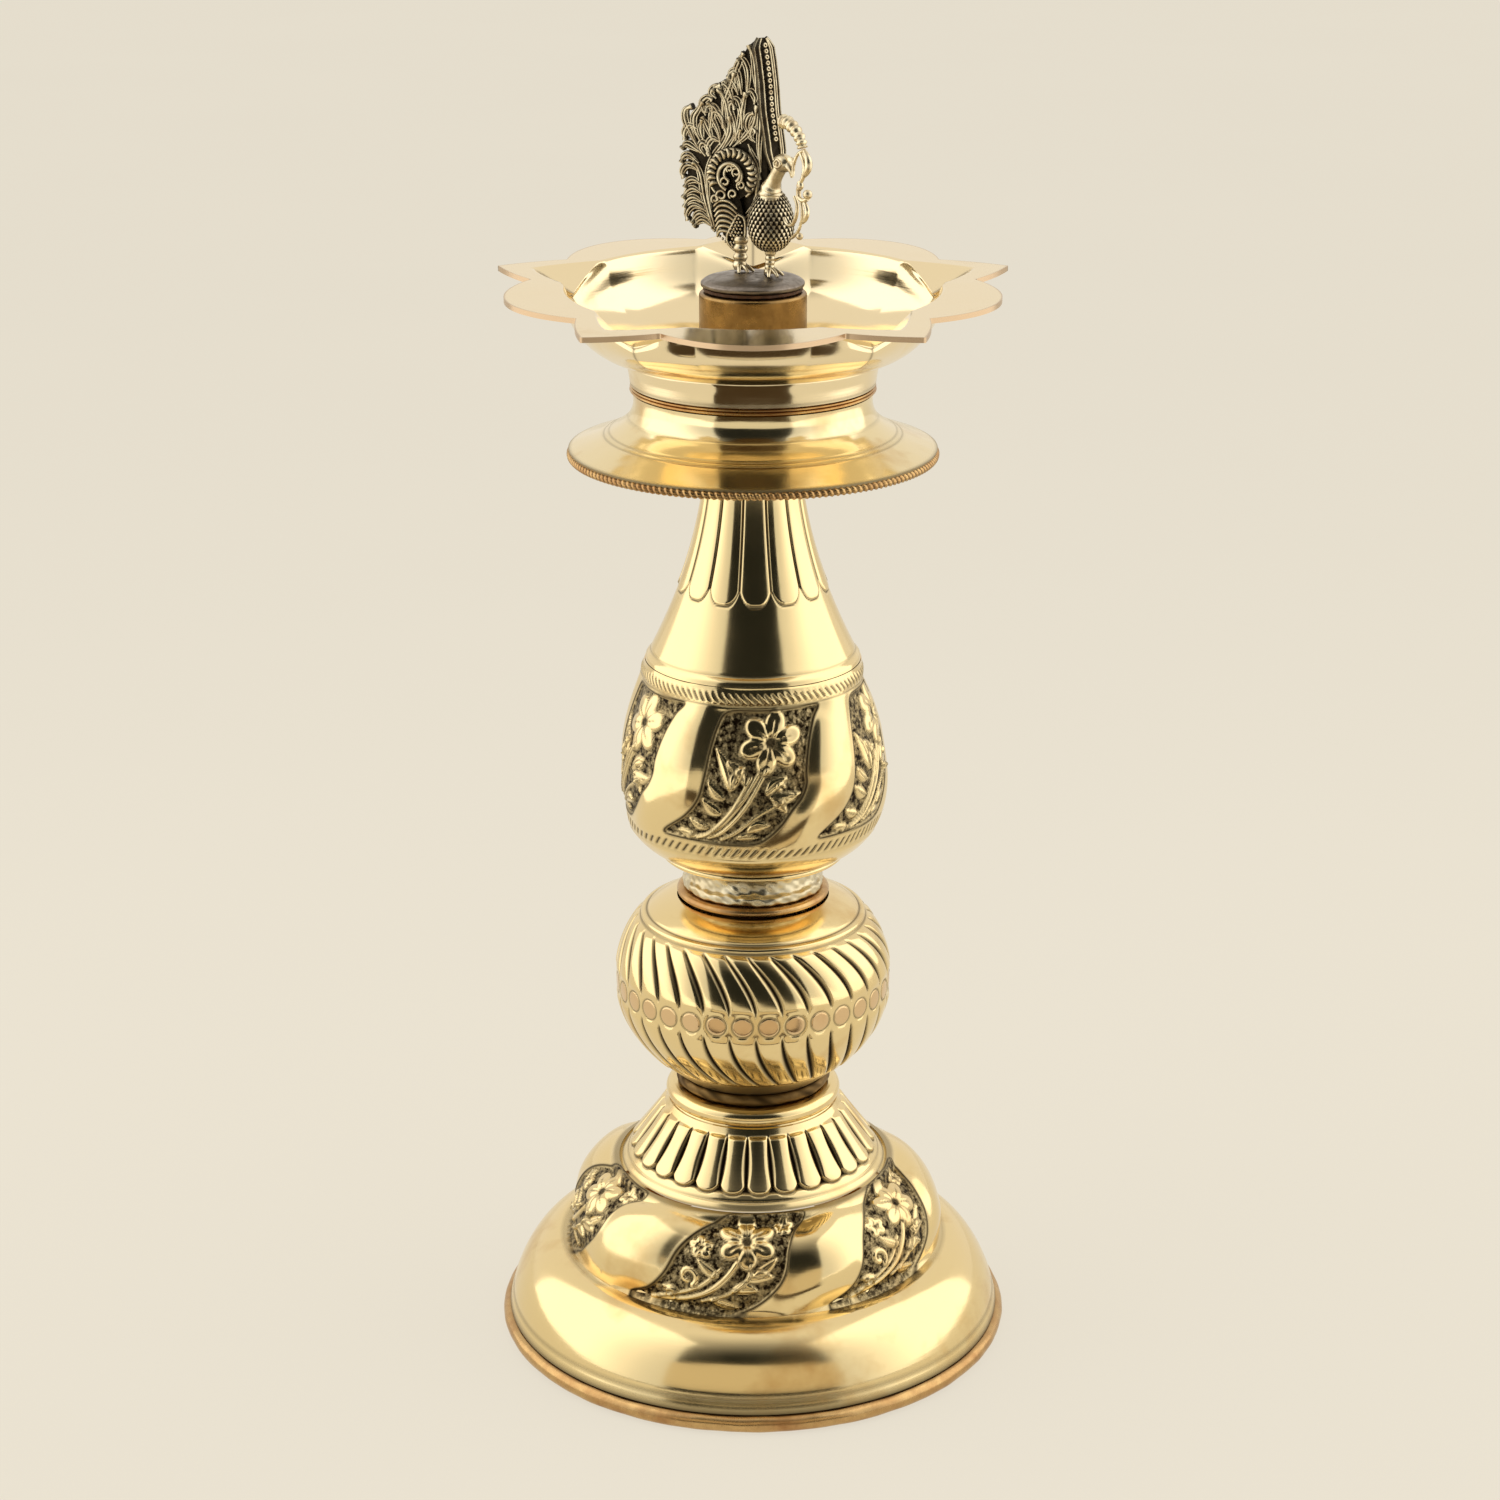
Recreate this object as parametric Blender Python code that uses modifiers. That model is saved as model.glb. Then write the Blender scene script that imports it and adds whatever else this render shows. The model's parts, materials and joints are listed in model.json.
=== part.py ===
"""Standing oil lamp of turned and pressed brass, in five sections that screw together.

Base, knop, shaft, bowl and finial stand on one another. Each upper section carries a threaded
stud that screws into the bush of the section below, through a loose seating ring or washer.
The frame is +Z up, with the origin in the middle of the face that the lamp stands on, and the
front of the lamp looks along -Y. Sizes below are in millimetres and are turned to metres once.
"""

import math

import bmesh
import bpy
import numpy as np
from mathutils import Matrix, Vector

MM = 0.001
MERGE = 0.00005

# Clearances
SEAM_GAP = 0.3          # between two pieces that touch or are soldered together
THREAD_GAP = 0.3        # between a stud's outside and its bore

# Walls
SHELL_WALL = 1.5        # pressed and spun shells
BOWL_WALL = 1.3         # oil bowl and its flange

# How finely the turned pieces are cut
STEPS_LARGE = 40
STEPS_MEDIUM = 32
STEPS_SMALL = 20
STEPS_BOWL = 50         # a whole number of steps from a rim tip to its notches

# Base: foot ring, flared and domed shell, fluted cone, collar
FOOT_RADIUS = 68.5
FOOT_RING_WIDTH = 6.0
FOOT_RING_HEIGHT = 4.6
FLARE_HEIGHT = 19.2     # from the foot ring to the step under the dome
STEP_RADIUS = 51.8
DOME_HEIGHT = 22.8
DOME_TOP_RADIUS = 36.2
CONE_HEIGHT = 17.0
CONE_TOP_RADIUS = 22.6
COLLAR_RADIUS = 23.3
COLLAR_HEIGHT = 4.8
NECK_RING_RADIUS = 20.6
NECK_RING_HEIGHT = 3.2

# Knop: two half shells, a cap ring
KNOP_RADIUS = 36.3
KNOP_LOWER_HEIGHT = 26.0
KNOP_UPPER_HEIGHT = 23.0
KNOP_NECK_RADIUS = 20.0
CAP_HEIGHT = 2.4
SEAT_COLLAR_RADIUS = 18.6
SEAT_COLLAR_HEIGHT = 8.4
SEAT_COLLAR_WALL = 5.0

# Shaft: foot, pear-shaped belly, long neck
SHAFT_FOOT_RADIUS = 24.2
SHAFT_FOOT_HEIGHT = 2.0
BELLY_RADIUS = 35.6
BELLY_HEIGHT = 51.0
RIDGE_RADIUS = 27.8
NECK_HEIGHT = 60.4
NECK_TOP_RADIUS = 11.4

# Bowl section: skirt with its bead, seam ring, bowl, boss
WASHER_THICKNESS = 1.2
FINIAL_WASHER_THICKNESS = 0.8
HUB_RADIUS = 14.0
HUB_HEIGHT = 15.0
BAND_RADIUS = 31.9      # foot band of the bowl
BAND_HEIGHT = 6.0
SEAM_RING_RADIUS = BAND_RADIUS - 1.0
SEAM_RING_HEIGHT = 1.6
SKIRT_NECK_RADIUS = BAND_RADIUS - 2.3
SKIRT_RADIUS = 46.6
SKIRT_HEIGHT = 14.1
SKIRT_WALL = 1.2
BEAD_RADIUS = 0.9
BOWL_RADIUS = 46.5      # inside, at the rim's inner edge
BOWL_DEPTH = 17.4       # from the rim down to the bowl's floor
RIM_TIP_RADIUS = BOWL_RADIUS + 21.5
RIM_LOBE_RADIUS = BOWL_RADIUS + 16.2
RIM_NOTCH_RADIUS = BOWL_RADIUS + 9.0
SPOUT_COUNT = 5
SPOUT_LENGTH = 10.0     # how far a wick spout runs out over the flange
SPOUT_DEPTH = 4.5
RIM_LEAN_DEG = 2.5      # the hand-hammered rim leans to the front
BOSS_RADIUS = 13.4
BOSS_BELOW_RIM = 1.9    # how far the boss stops short of the rim

# Finial: disc and peacock
DISC_RADIUS = BOSS_RADIUS - 0.5
DISC_HEIGHT = 3.2
HEADING_DEG = 55.0      # how far the bird is turned from side view to the front
BODY_CENTRE = (3.7, -3.0)
BODY_RADIUS = 5.4
BODY_HEIGHT = 16.0
BODY_LIFT = 5.4         # from the disc to the body's underside
TAIL_ROOT = (3.2, 3.7)
TAIL_HALF_ANGLE_DEG = 35.0
TAIL_THICKNESS = 1.8
TAIL_REACH = 21.5       # how far a tail half stands back from the middle leaf
WING_THICKNESS = 1.8
WING_RADIUS = 6.3
WING_FOOT = 7.6         # from the disc to the wing's lowest feather

# Threads
STUD_RADIUS = 6.0
BOWL_STUD_RADIUS = 5.0
FINIAL_STUD_RADIUS = 3.0
THREAD_PITCH = 2.0
THREAD_TURNS = 4
THREAD_TRAVEL = THREAD_PITCH * THREAD_TURNS
STUD_SPARE = 3.0        # thread still in the bush when the travel is used up
STUD_REACH = THREAD_TRAVEL + STUD_SPARE
STUD_HOLD = 13.0        # length of stud held in the section that carries it
BORE = STUD_RADIUS + THREAD_GAP
BOWL_BORE = BOWL_STUD_RADIUS + THREAD_GAP
FINIAL_BORE = FINIAL_STUD_RADIUS + THREAD_GAP

# Bushes and hubs
BUSH_WALL = 4.5
BUSH_LENGTH = STUD_REACH + 4.0
BUSH_FLANGE = 3.0
HUB_FLANGE = 2.4
BUSH_FLANGE_RADIUS = COLLAR_RADIUS - 5.0
CAP_BUSH_RADIUS = KNOP_NECK_RADIUS - 4.0
HOLDER_LENGTH = STUD_HOLD + 1.0

# Heights of the pieces above one another
Z_FLARE = FOOT_RING_HEIGHT + SEAM_GAP
Z_STEP = Z_FLARE + FLARE_HEIGHT
Z_DOME_TOP = Z_STEP + DOME_HEIGHT
Z_CONE = Z_DOME_TOP + SEAM_GAP
Z_CONE_TOP = Z_CONE + CONE_HEIGHT
Z_COLLAR = Z_CONE_TOP + SEAM_GAP
Z_COLLAR_TOP = Z_COLLAR + COLLAR_HEIGHT
Z_NECK_RING = Z_COLLAR_TOP + SEAM_GAP
Z_KNOP = Z_NECK_RING + NECK_RING_HEIGHT + SEAM_GAP
Z_KNOP_EQUATOR = Z_KNOP + KNOP_LOWER_HEIGHT
Z_KNOP_UPPER = Z_KNOP_EQUATOR + SEAM_GAP
Z_KNOP_TOP = Z_KNOP_UPPER + KNOP_UPPER_HEIGHT
Z_CAP = Z_KNOP_TOP + SEAM_GAP
Z_CAP_TOP = Z_CAP + CAP_HEIGHT
Z_SEAT_COLLAR = Z_CAP_TOP + SEAM_GAP
Z_SHAFT = Z_SEAT_COLLAR + SEAT_COLLAR_HEIGHT + SEAM_GAP
Z_BELLY = Z_SHAFT + SHAFT_FOOT_HEIGHT + SEAM_GAP
Z_BELLY_TOP = Z_BELLY + BELLY_HEIGHT
Z_NECK = Z_BELLY_TOP + SEAM_GAP
Z_NECK_TOP = Z_NECK + NECK_HEIGHT
Z_WASHER = Z_NECK_TOP + SEAM_GAP
Z_HUB = Z_WASHER + WASHER_THICKNESS + SEAM_GAP
Z_HUB_TOP = Z_HUB + HUB_HEIGHT
Z_BOWL_UNDERSIDE = Z_HUB_TOP + SEAM_GAP
Z_BOWL_FLOOR = Z_BOWL_UNDERSIDE + BOWL_WALL
Z_RIM = Z_BOWL_FLOOR + BOWL_DEPTH
Z_BAND_TOP = Z_BOWL_UNDERSIDE
Z_BAND = Z_BAND_TOP - BAND_HEIGHT
Z_SEAM_RING = Z_BAND - SEAM_GAP - SEAM_RING_HEIGHT
Z_SKIRT_TOP = Z_SEAM_RING - SEAM_GAP
Z_SKIRT_RIM = Z_SKIRT_TOP - SKIRT_HEIGHT
Z_BOSS = Z_BOWL_FLOOR + SEAM_GAP
Z_BOSS_TOP = Z_RIM - BOSS_BELOW_RIM
Z_FINIAL_WASHER = Z_BOSS_TOP + SEAM_GAP
Z_DISC = Z_FINIAL_WASHER + FINIAL_WASHER_THICKNESS + SEAM_GAP
Z_DISC_TOP = Z_DISC + DISC_HEIGHT
Z_PERCH = Z_DISC_TOP + SEAM_GAP


# Profiles: lists of (radius, height) that run down the outer side of a piece

def bezier(start, lean_out, lean_in, end, count):
    """Points of a smooth stretch of outline, its two ends included."""
    points = []
    for step in range(count + 1):
        t = step / count
        weights = ((1 - t) ** 3, 3 * t * (1 - t) ** 2, 3 * t * t * (1 - t), t ** 3)
        corners = (start, lean_out, lean_in, end)
        points.append(tuple(sum(w * c[k] for w, c in zip(weights, corners)) for k in (0, 1)))
    return points


def arc(centre, radii, start_deg, end_deg, count):
    """Points of an elliptical arc, its two ends included."""
    angles = np.radians(np.linspace(start_deg, end_deg, count + 1))
    return [(centre[0] + radii[0] * math.cos(a), centre[1] + radii[1] * math.sin(a))
            for a in angles]


def inner_side(outer, wall):
    """The same outline moved in by a wall, square to it, running back up.

    An end of a steep wall is cut level, so that it stands flat on what is below it.
    """
    line = np.array(outer)
    along = np.gradient(line, axis=0)
    along /= np.linalg.norm(along, axis=1)[:, None]
    inward = np.stack([along[:, 1], -along[:, 0]], axis=1)
    moved = line + inward * wall
    for end in (0, -1):
        if abs(along[end, 1]) > abs(along[end, 0]):
            moved[end] = line[end] - (wall / abs(along[end, 1]), 0.0)
    return [tuple(point) for point in moved[::-1]]


def ring_section(outer_radius, inner_radius, low, high, edge=0.5):
    """Closed section of a plain ring with its outer edges broken."""
    return [(outer_radius - edge, high), (outer_radius, high - edge),
            (outer_radius, low + edge), (outer_radius - edge, low),
            (inner_radius, low), (inner_radius, high)]


def flanged_section(flange_radius, body_radius, bore, low, high, flange_low, flange_high):
    """Closed section of a bush with a flange round its lower or upper end."""
    outer = [(body_radius, high), (body_radius, flange_high), (flange_radius, flange_high),
             (flange_radius, flange_low), (body_radius, flange_low), (body_radius, low)]
    kept = [outer[0]]
    for point in outer[1:]:
        if point != kept[-1]:
            kept.append(point)
    return kept + [(bore, low), (bore, high)]


# Objects

def start_scene():
    """Remove what the scene holds and make the two collections."""
    for item in list(bpy.data.objects):
        bpy.data.objects.remove(item)
    made = []
    for name in ("standing_oil_lamp", "cutters"):
        collection = bpy.data.collections.new(name)
        bpy.context.scene.collection.children.link(collection)
        made.append(collection)
    return made


def metal(name, colour, roughness):
    """A bare metal with its colour and polish."""
    material = bpy.data.materials.new(name)
    material.use_nodes = True
    shader = material.node_tree.nodes["Principled BSDF"]
    shader.inputs["Base Color"].default_value = (*colour, 1.0)
    shader.inputs["Metallic"].default_value = 1.0
    shader.inputs["Roughness"].default_value = roughness
    return material


def leather(name, colour):
    """Oiled washer leather."""
    material = metal(name, colour, 0.75)
    material.node_tree.nodes["Principled BSDF"].inputs["Metallic"].default_value = 0.0
    return material


def finish(item, material, smooth_angle_deg=35.0):
    """Give a mesh object its material and smooth its round faces."""
    own = material.copy()
    own.name = item.name
    item.data.materials.clear()
    item.data.materials.append(own)
    item.data.shade_smooth()
    item.data.set_sharp_from_angle(angle=math.radians(smooth_angle_deg))
    return item


def turned(name, section, steps, material, closed=True):
    """A turned piece: its section swept once round the lamp's axis."""
    mesh = bpy.data.meshes.new(name)
    corners = [(radius * MM, 0.0, height * MM) for radius, height in section]
    edges = [(k, k + 1) for k in range(len(corners) - 1)]
    if closed:
        edges.append((len(corners) - 1, 0))
    mesh.from_pydata(corners, edges, [])
    item = bpy.data.objects.new(name, mesh)
    PARTS.objects.link(item)
    screw = item.modifiers.new("turn", "SCREW")
    screw.axis = "Z"
    screw.angle = math.tau
    screw.steps = steps
    screw.render_steps = steps
    screw.use_merge_vertices = True
    screw.merge_threshold = MERGE
    return finish(item, material)


def shell(name, outer, wall, steps, material):
    """A turned sheet piece with an even wall inside its outline."""
    return turned(name, outer + inner_side(outer, wall), steps, material)


def as_mesh(item, collection):
    """The object as its modifiers or its curve make it, as a plain mesh object."""
    bpy.context.view_layer.update()
    graph = bpy.context.evaluated_depsgraph_get()
    name = item.name
    mesh = bpy.data.meshes.new_from_object(item.evaluated_get(graph))
    work = bmesh.new()
    work.from_mesh(mesh)
    bmesh.ops.remove_doubles(work, verts=work.verts, dist=MERGE * 0.2)
    bmesh.ops.recalc_face_normals(work, faces=work.faces)
    work.to_mesh(mesh)
    work.free()
    place = item.matrix_world.copy()
    bpy.data.objects.remove(item)
    made = bpy.data.objects.new(name, mesh)
    made.matrix_world = place
    collection.objects.link(made)
    return made


def stud(name, radius, low, high):
    """A threaded stud, drawn at its outside size."""
    length = (high - low) * MM
    bpy.ops.mesh.primitive_cylinder_add(vertices=STEPS_SMALL, radius=radius * MM, depth=length,
                                        location=(0.0, 0.0, (low + high) / 2 * MM))
    item = bpy.context.object
    take_in(item, name, PARTS)
    return finish(item, THREADED_BRASS)


def take_in(item, name, collection):
    """Name a new object and its mesh and keep it in one collection only."""
    item.name = name
    item.data.name = name
    for holder in list(item.users_collection):
        holder.objects.unlink(item)
    collection.objects.link(item)
    return item


def tube(name, route, collection, resolution=2):
    """A closed tube along a route of (x, y, z, radius)."""
    curve = bpy.data.curves.new(name, "CURVE")
    curve.dimensions = "3D"
    curve.bevel_depth = MM
    curve.bevel_resolution = resolution
    curve.use_fill_caps = True
    spline = curve.splines.new("POLY")
    spline.points.add(len(route) - 1)
    for point, (x, y, z, radius) in zip(spline.points, route):
        point.co = (x * MM, y * MM, z * MM, 1.0)
        point.radius = radius
    item = bpy.data.objects.new(name, curve)
    PARTS.objects.link(item)
    return as_mesh(item, collection)


def plate(name, outline, thickness, place):
    """A flat plate cut to an outline, laid by a matrix."""
    curve = bpy.data.curves.new(name, "CURVE")
    curve.dimensions = "2D"
    curve.fill_mode = "BOTH"
    curve.extrude = thickness / 2 * MM
    spline = curve.splines.new("POLY")
    spline.points.add(len(outline) - 1)
    for point, (x, y) in zip(spline.points, outline):
        point.co = (x * MM, y * MM, 0.0, 1.0)
    spline.use_cyclic_u = True
    item = bpy.data.objects.new(name, curve)
    item.matrix_world = place
    PARTS.objects.link(item)
    return as_mesh(item, PARTS)


def join_solid(item, other):
    """Unite another solid with the object and keep the other as a guide."""
    union = item.modifiers.new("join_" + other.name, "BOOLEAN")
    union.operation = "UNION"
    union.solver = "EXACT"
    union.object = other
    other.hide_render = True
    other.display_type = "WIRE"
    return item


# Base

def foot_ring():
    """Rolled ring that the lamp stands on, flat underneath."""
    middle = FOOT_RING_HEIGHT / 2
    roll = arc((FOOT_RADIUS - middle, middle), (middle, middle), 60, -60, 4)
    inner = FOOT_RADIUS - FOOT_RING_WIDTH
    section = [(FOOT_RADIUS - middle, FOOT_RING_HEIGHT)] + roll
    section += [(FOOT_RADIUS - middle, 0.0), (inner, 0.0), (inner, FOOT_RING_HEIGHT)]
    return turned("foot_ring", section, STEPS_LARGE, COPPER_BRASS)


def base_shell():
    """Domed and flared base, pressed in one, open below."""
    side = FOOT_RADIUS - 1.9
    dome = bezier((DOME_TOP_RADIUS, Z_DOME_TOP),
                  (DOME_TOP_RADIUS + 10.3, Z_DOME_TOP - 2.9),
                  (STEP_RADIUS - 0.8, Z_STEP + 9.9),
                  (STEP_RADIUS - 0.8, Z_STEP + 0.5), 5)
    flare = bezier((STEP_RADIUS, Z_STEP), (STEP_RADIUS + 5.7, Z_STEP - 0.6),
                   (side - 3.1, Z_FLARE + 13.1), (side, Z_FLARE), 5)
    return shell("base_shell", dome + flare, SHELL_WALL, STEPS_LARGE, BRASS)


def base_cone():
    """Fluted cone between the dome and the collar."""
    outer = bezier((CONE_TOP_RADIUS, Z_CONE_TOP), (CONE_TOP_RADIUS + 2.9, Z_CONE_TOP - 4.7),
                   (DOME_TOP_RADIUS - 4.7, Z_CONE + 4.3), (DOME_TOP_RADIUS - 0.8, Z_CONE), 4)
    return shell("base_cone", outer, SHELL_WALL, STEPS_MEDIUM, BRASS)


def base_collar():
    """Bright rounded ring on top of the cone, round the bush's flange."""
    middle = Z_COLLAR + COLLAR_HEIGHT / 2
    half = COLLAR_HEIGHT / 2
    section = arc((COLLAR_RADIUS - half, middle), (half, half), 90, -90, 6)
    inner = BUSH_FLANGE_RADIUS + SEAM_GAP
    section += [(inner, Z_COLLAR), (inner, Z_COLLAR_TOP)]
    return turned("base_collar", section, STEPS_MEDIUM, BRASS)


def base_bush():
    """Threaded bush in the top of the base."""
    section = flanged_section(BUSH_FLANGE_RADIUS, BORE + BUSH_WALL, BORE,
                              Z_COLLAR_TOP - BUSH_LENGTH, Z_COLLAR_TOP,
                              Z_COLLAR_TOP - BUSH_FLANGE, Z_COLLAR_TOP)
    return turned("base_bush", section, STEPS_SMALL, DULL_BRASS)


def neck_ring():
    """Loose dark ring that the knop seats on."""
    section = ring_section(NECK_RING_RADIUS, BORE + SEAM_GAP, Z_NECK_RING,
                           Z_NECK_RING + NECK_RING_HEIGHT)
    return turned("neck_ring", section, STEPS_MEDIUM, DARK_BRASS)


# Knop

def knop_lower_shell():
    """Lower half of the melon-shaped knop."""
    outer = bezier((KNOP_RADIUS, Z_KNOP_EQUATOR),
                   (KNOP_RADIUS, Z_KNOP_EQUATOR - KNOP_LOWER_HEIGHT * 0.43),
                   (KNOP_NECK_RADIUS + 9.0, Z_KNOP + 6.9),
                   (KNOP_NECK_RADIUS, Z_KNOP), 6)
    return shell("knop_lower_shell", outer, SHELL_WALL, STEPS_MEDIUM, BRASS)


def knop_upper_shell():
    """Upper half of the knop."""
    outer = bezier((KNOP_NECK_RADIUS, Z_KNOP_TOP), (KNOP_NECK_RADIUS + 10.5, Z_KNOP_TOP - 2.4),
                   (KNOP_RADIUS, Z_KNOP_UPPER + KNOP_UPPER_HEIGHT * 0.46),
                   (KNOP_RADIUS, Z_KNOP_UPPER), 6)
    return shell("knop_upper_shell", outer, SHELL_WALL, STEPS_MEDIUM, BRASS)


def knop_hub():
    """Plate and bush that hold the knop's stud."""
    plate_radius = KNOP_NECK_RADIUS - SHELL_WALL - 2 * SEAM_GAP
    section = flanged_section(plate_radius, BORE + BUSH_WALL, BORE,
                              Z_KNOP, Z_KNOP + HOLDER_LENGTH, Z_KNOP, Z_KNOP + HUB_FLANGE)
    return turned("knop_hub", section, STEPS_SMALL, DULL_BRASS)


def knop_cap():
    """Turned ring that closes the knop's top."""
    section = ring_section(KNOP_NECK_RADIUS, CAP_BUSH_RADIUS + SEAM_GAP, Z_CAP, Z_CAP_TOP, 0.6)
    return turned("knop_cap", section, STEPS_MEDIUM, DARK_BRASS)


def knop_bush():
    """Threaded bush in the top of the knop."""
    section = flanged_section(CAP_BUSH_RADIUS, BORE + BUSH_WALL, BORE,
                              Z_CAP_TOP - BUSH_LENGTH, Z_CAP_TOP,
                              Z_CAP_TOP - BUSH_FLANGE, Z_CAP_TOP)
    return turned("knop_bush", section, STEPS_SMALL, DULL_BRASS)


def seat_collar():
    """Loose rough collar that the shaft seats on."""
    section = ring_section(SEAT_COLLAR_RADIUS, SEAT_COLLAR_RADIUS - SEAT_COLLAR_WALL,
                           Z_SEAT_COLLAR,
                           Z_SEAT_COLLAR + SEAT_COLLAR_HEIGHT, 0.4)
    return turned("seat_collar", section, STEPS_MEDIUM, PALE_BRASS)


# Shaft

def shaft_foot():
    """Flanged foot of the shaft, which holds its stud."""
    section = flanged_section(SHAFT_FOOT_RADIUS, BORE + BUSH_WALL, BORE,
                              Z_SHAFT, Z_SHAFT + HOLDER_LENGTH,
                              Z_SHAFT, Z_SHAFT + SHAFT_FOOT_HEIGHT)
    return turned("shaft_foot", section, STEPS_MEDIUM, BRASS)


def shaft_belly():
    """Pear-shaped shell with the flower panels."""
    widest = Z_BELLY + BELLY_HEIGHT * 0.394
    upper = bezier((RIDGE_RADIUS, Z_BELLY_TOP), (RIDGE_RADIUS + 2.8, Z_BELLY_TOP - 8.4),
                   (BELLY_RADIUS, widest + 12.5), (BELLY_RADIUS, widest), 4)
    lower = bezier((BELLY_RADIUS, widest), (BELLY_RADIUS, widest - 9.0),
                   (SHAFT_FOOT_RADIUS + 8.6, Z_BELLY + 4.1),
                   (SHAFT_FOOT_RADIUS + 1.0, Z_BELLY), 4)
    return shell("shaft_belly", upper + lower[1:], SHELL_WALL, STEPS_MEDIUM, BRASS)


def shaft_neck():
    """Long cone of the shaft, which narrows to the bowl."""
    outer = bezier((NECK_TOP_RADIUS, Z_NECK_TOP), (NECK_TOP_RADIUS, Z_NECK_TOP - 22.1),
                   (RIDGE_RADIUS - 10.3, Z_NECK + 19.3), (RIDGE_RADIUS - 0.4, Z_NECK), 7)
    return shell("shaft_neck", outer, SHELL_WALL, STEPS_MEDIUM, BRASS)


def shaft_bush():
    """Threaded bush in the top of the shaft's neck."""
    outside = NECK_TOP_RADIUS - SHELL_WALL - SEAM_GAP
    section = ring_section(outside, BOWL_BORE, Z_NECK_TOP - BUSH_LENGTH, Z_NECK_TOP, 0.3)
    return turned("shaft_bush", section, STEPS_SMALL, DULL_BRASS)


# Bowl section

def bowl_washer():
    """Leather washer between the shaft and the bowl's hub."""
    section = ring_section(NECK_TOP_RADIUS - 0.4, BOWL_BORE + SEAM_GAP, Z_WASHER,
                           Z_WASHER + WASHER_THICKNESS, 0.1)
    return turned("bowl_washer", section, STEPS_SMALL, LEATHER)


def bowl_hub():
    """Turned hub under the bowl, which holds its stud."""
    section = ring_section(HUB_RADIUS, BOWL_BORE, Z_HUB, Z_HUB_TOP)
    return turned("bowl_hub", section, STEPS_SMALL, DULL_BRASS)


def drip_skirt():
    """Flared skirt that keeps oil off the shaft."""
    outer = bezier((SKIRT_NECK_RADIUS + 0.6, Z_SKIRT_TOP),
                   (SKIRT_NECK_RADIUS - 1.0, Z_SKIRT_TOP - 7.0),
                   (SKIRT_RADIUS - 11.6, Z_SKIRT_RIM + 4.1), (SKIRT_RADIUS - 0.2, Z_SKIRT_RIM), 6)
    return shell("drip_skirt", outer, SKIRT_WALL, STEPS_LARGE, BRASS)


def skirt_bead():
    """Knurled bead under the edge of the skirt."""
    middle = Z_SKIRT_RIM - SKIRT_WALL - SEAM_GAP - BEAD_RADIUS
    section = arc((SKIRT_RADIUS - BEAD_RADIUS, middle), (BEAD_RADIUS, BEAD_RADIUS), 90, -210, 5)
    return turned("skirt_bead", section, STEPS_LARGE, BRASS)


def seam_ring():
    """Soldered ring between the skirt and the bowl."""
    section = ring_section(SEAM_RING_RADIUS, SKIRT_NECK_RADIUS - 1.2, Z_SEAM_RING,
                           Z_SEAM_RING + SEAM_RING_HEIGHT, 0.4)
    return turned("seam_ring", section, STEPS_LARGE, BRASS)


def rim_edge(angle):
    """Radius of the rim's cut edge: a tip at each spout, a lobe between two."""
    sector = math.tau / SPOUT_COUNT
    notch = 2 * math.tau / STEPS_BOWL
    from_tip = abs((angle + sector / 2) % sector - sector / 2)
    if from_tip <= notch:
        return RIM_TIP_RADIUS + (RIM_NOTCH_RADIUS - RIM_TIP_RADIUS) * from_tip / notch
    along = (from_tip - notch) / (sector / 2 - notch)
    return RIM_NOTCH_RADIUS + (RIM_LOBE_RADIUS - RIM_NOTCH_RADIUS) * math.sin(along * math.pi / 2)


def spout_drop(angle, radius):
    """How far a pressed wick spout lies below the flange."""
    sector = math.tau / SPOUT_COUNT
    from_spout = abs((angle + sector / 2) % sector - sector / 2) * radius
    half_width = BOWL_RADIUS * math.tau / STEPS_BOWL
    across = max(0.0, 1.0 - from_spout / half_width)
    along = max(0.0, 1.0 - max(0.0, radius - BOWL_RADIUS) / SPOUT_LENGTH)
    return SPOUT_DEPTH * across * along


def shape_rim(item):
    """Cut the flange to its star, press the spouts and lean the rim."""
    outside = BOWL_RADIUS + BOWL_WALL
    lean = math.tan(math.radians(RIM_LEAN_DEG))
    for corner in item.data.vertices:
        x, y, z = (value / MM for value in corner.co)
        radius = math.hypot(x, y)
        angle = math.atan2(y, x) - math.pi / 2
        if radius > outside + 0.01:
            share = (radius - outside) / (RIM_TIP_RADIUS - outside)
            new_radius = outside + share * (rim_edge(angle) - outside)
            x *= new_radius / radius
            y *= new_radius / radius
            radius = new_radius
        if z > Z_RIM - BOWL_WALL - 0.01:
            z -= spout_drop(angle, radius)
        share_up = min(1.0, max(0.0, (z - Z_BOWL_FLOOR) / (Z_RIM - SPOUT_DEPTH - Z_BOWL_FLOOR)))
        z += y * lean * share_up
        corner.co = (x * MM, y * MM, z * MM)
    item.data.update()
    return item


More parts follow.
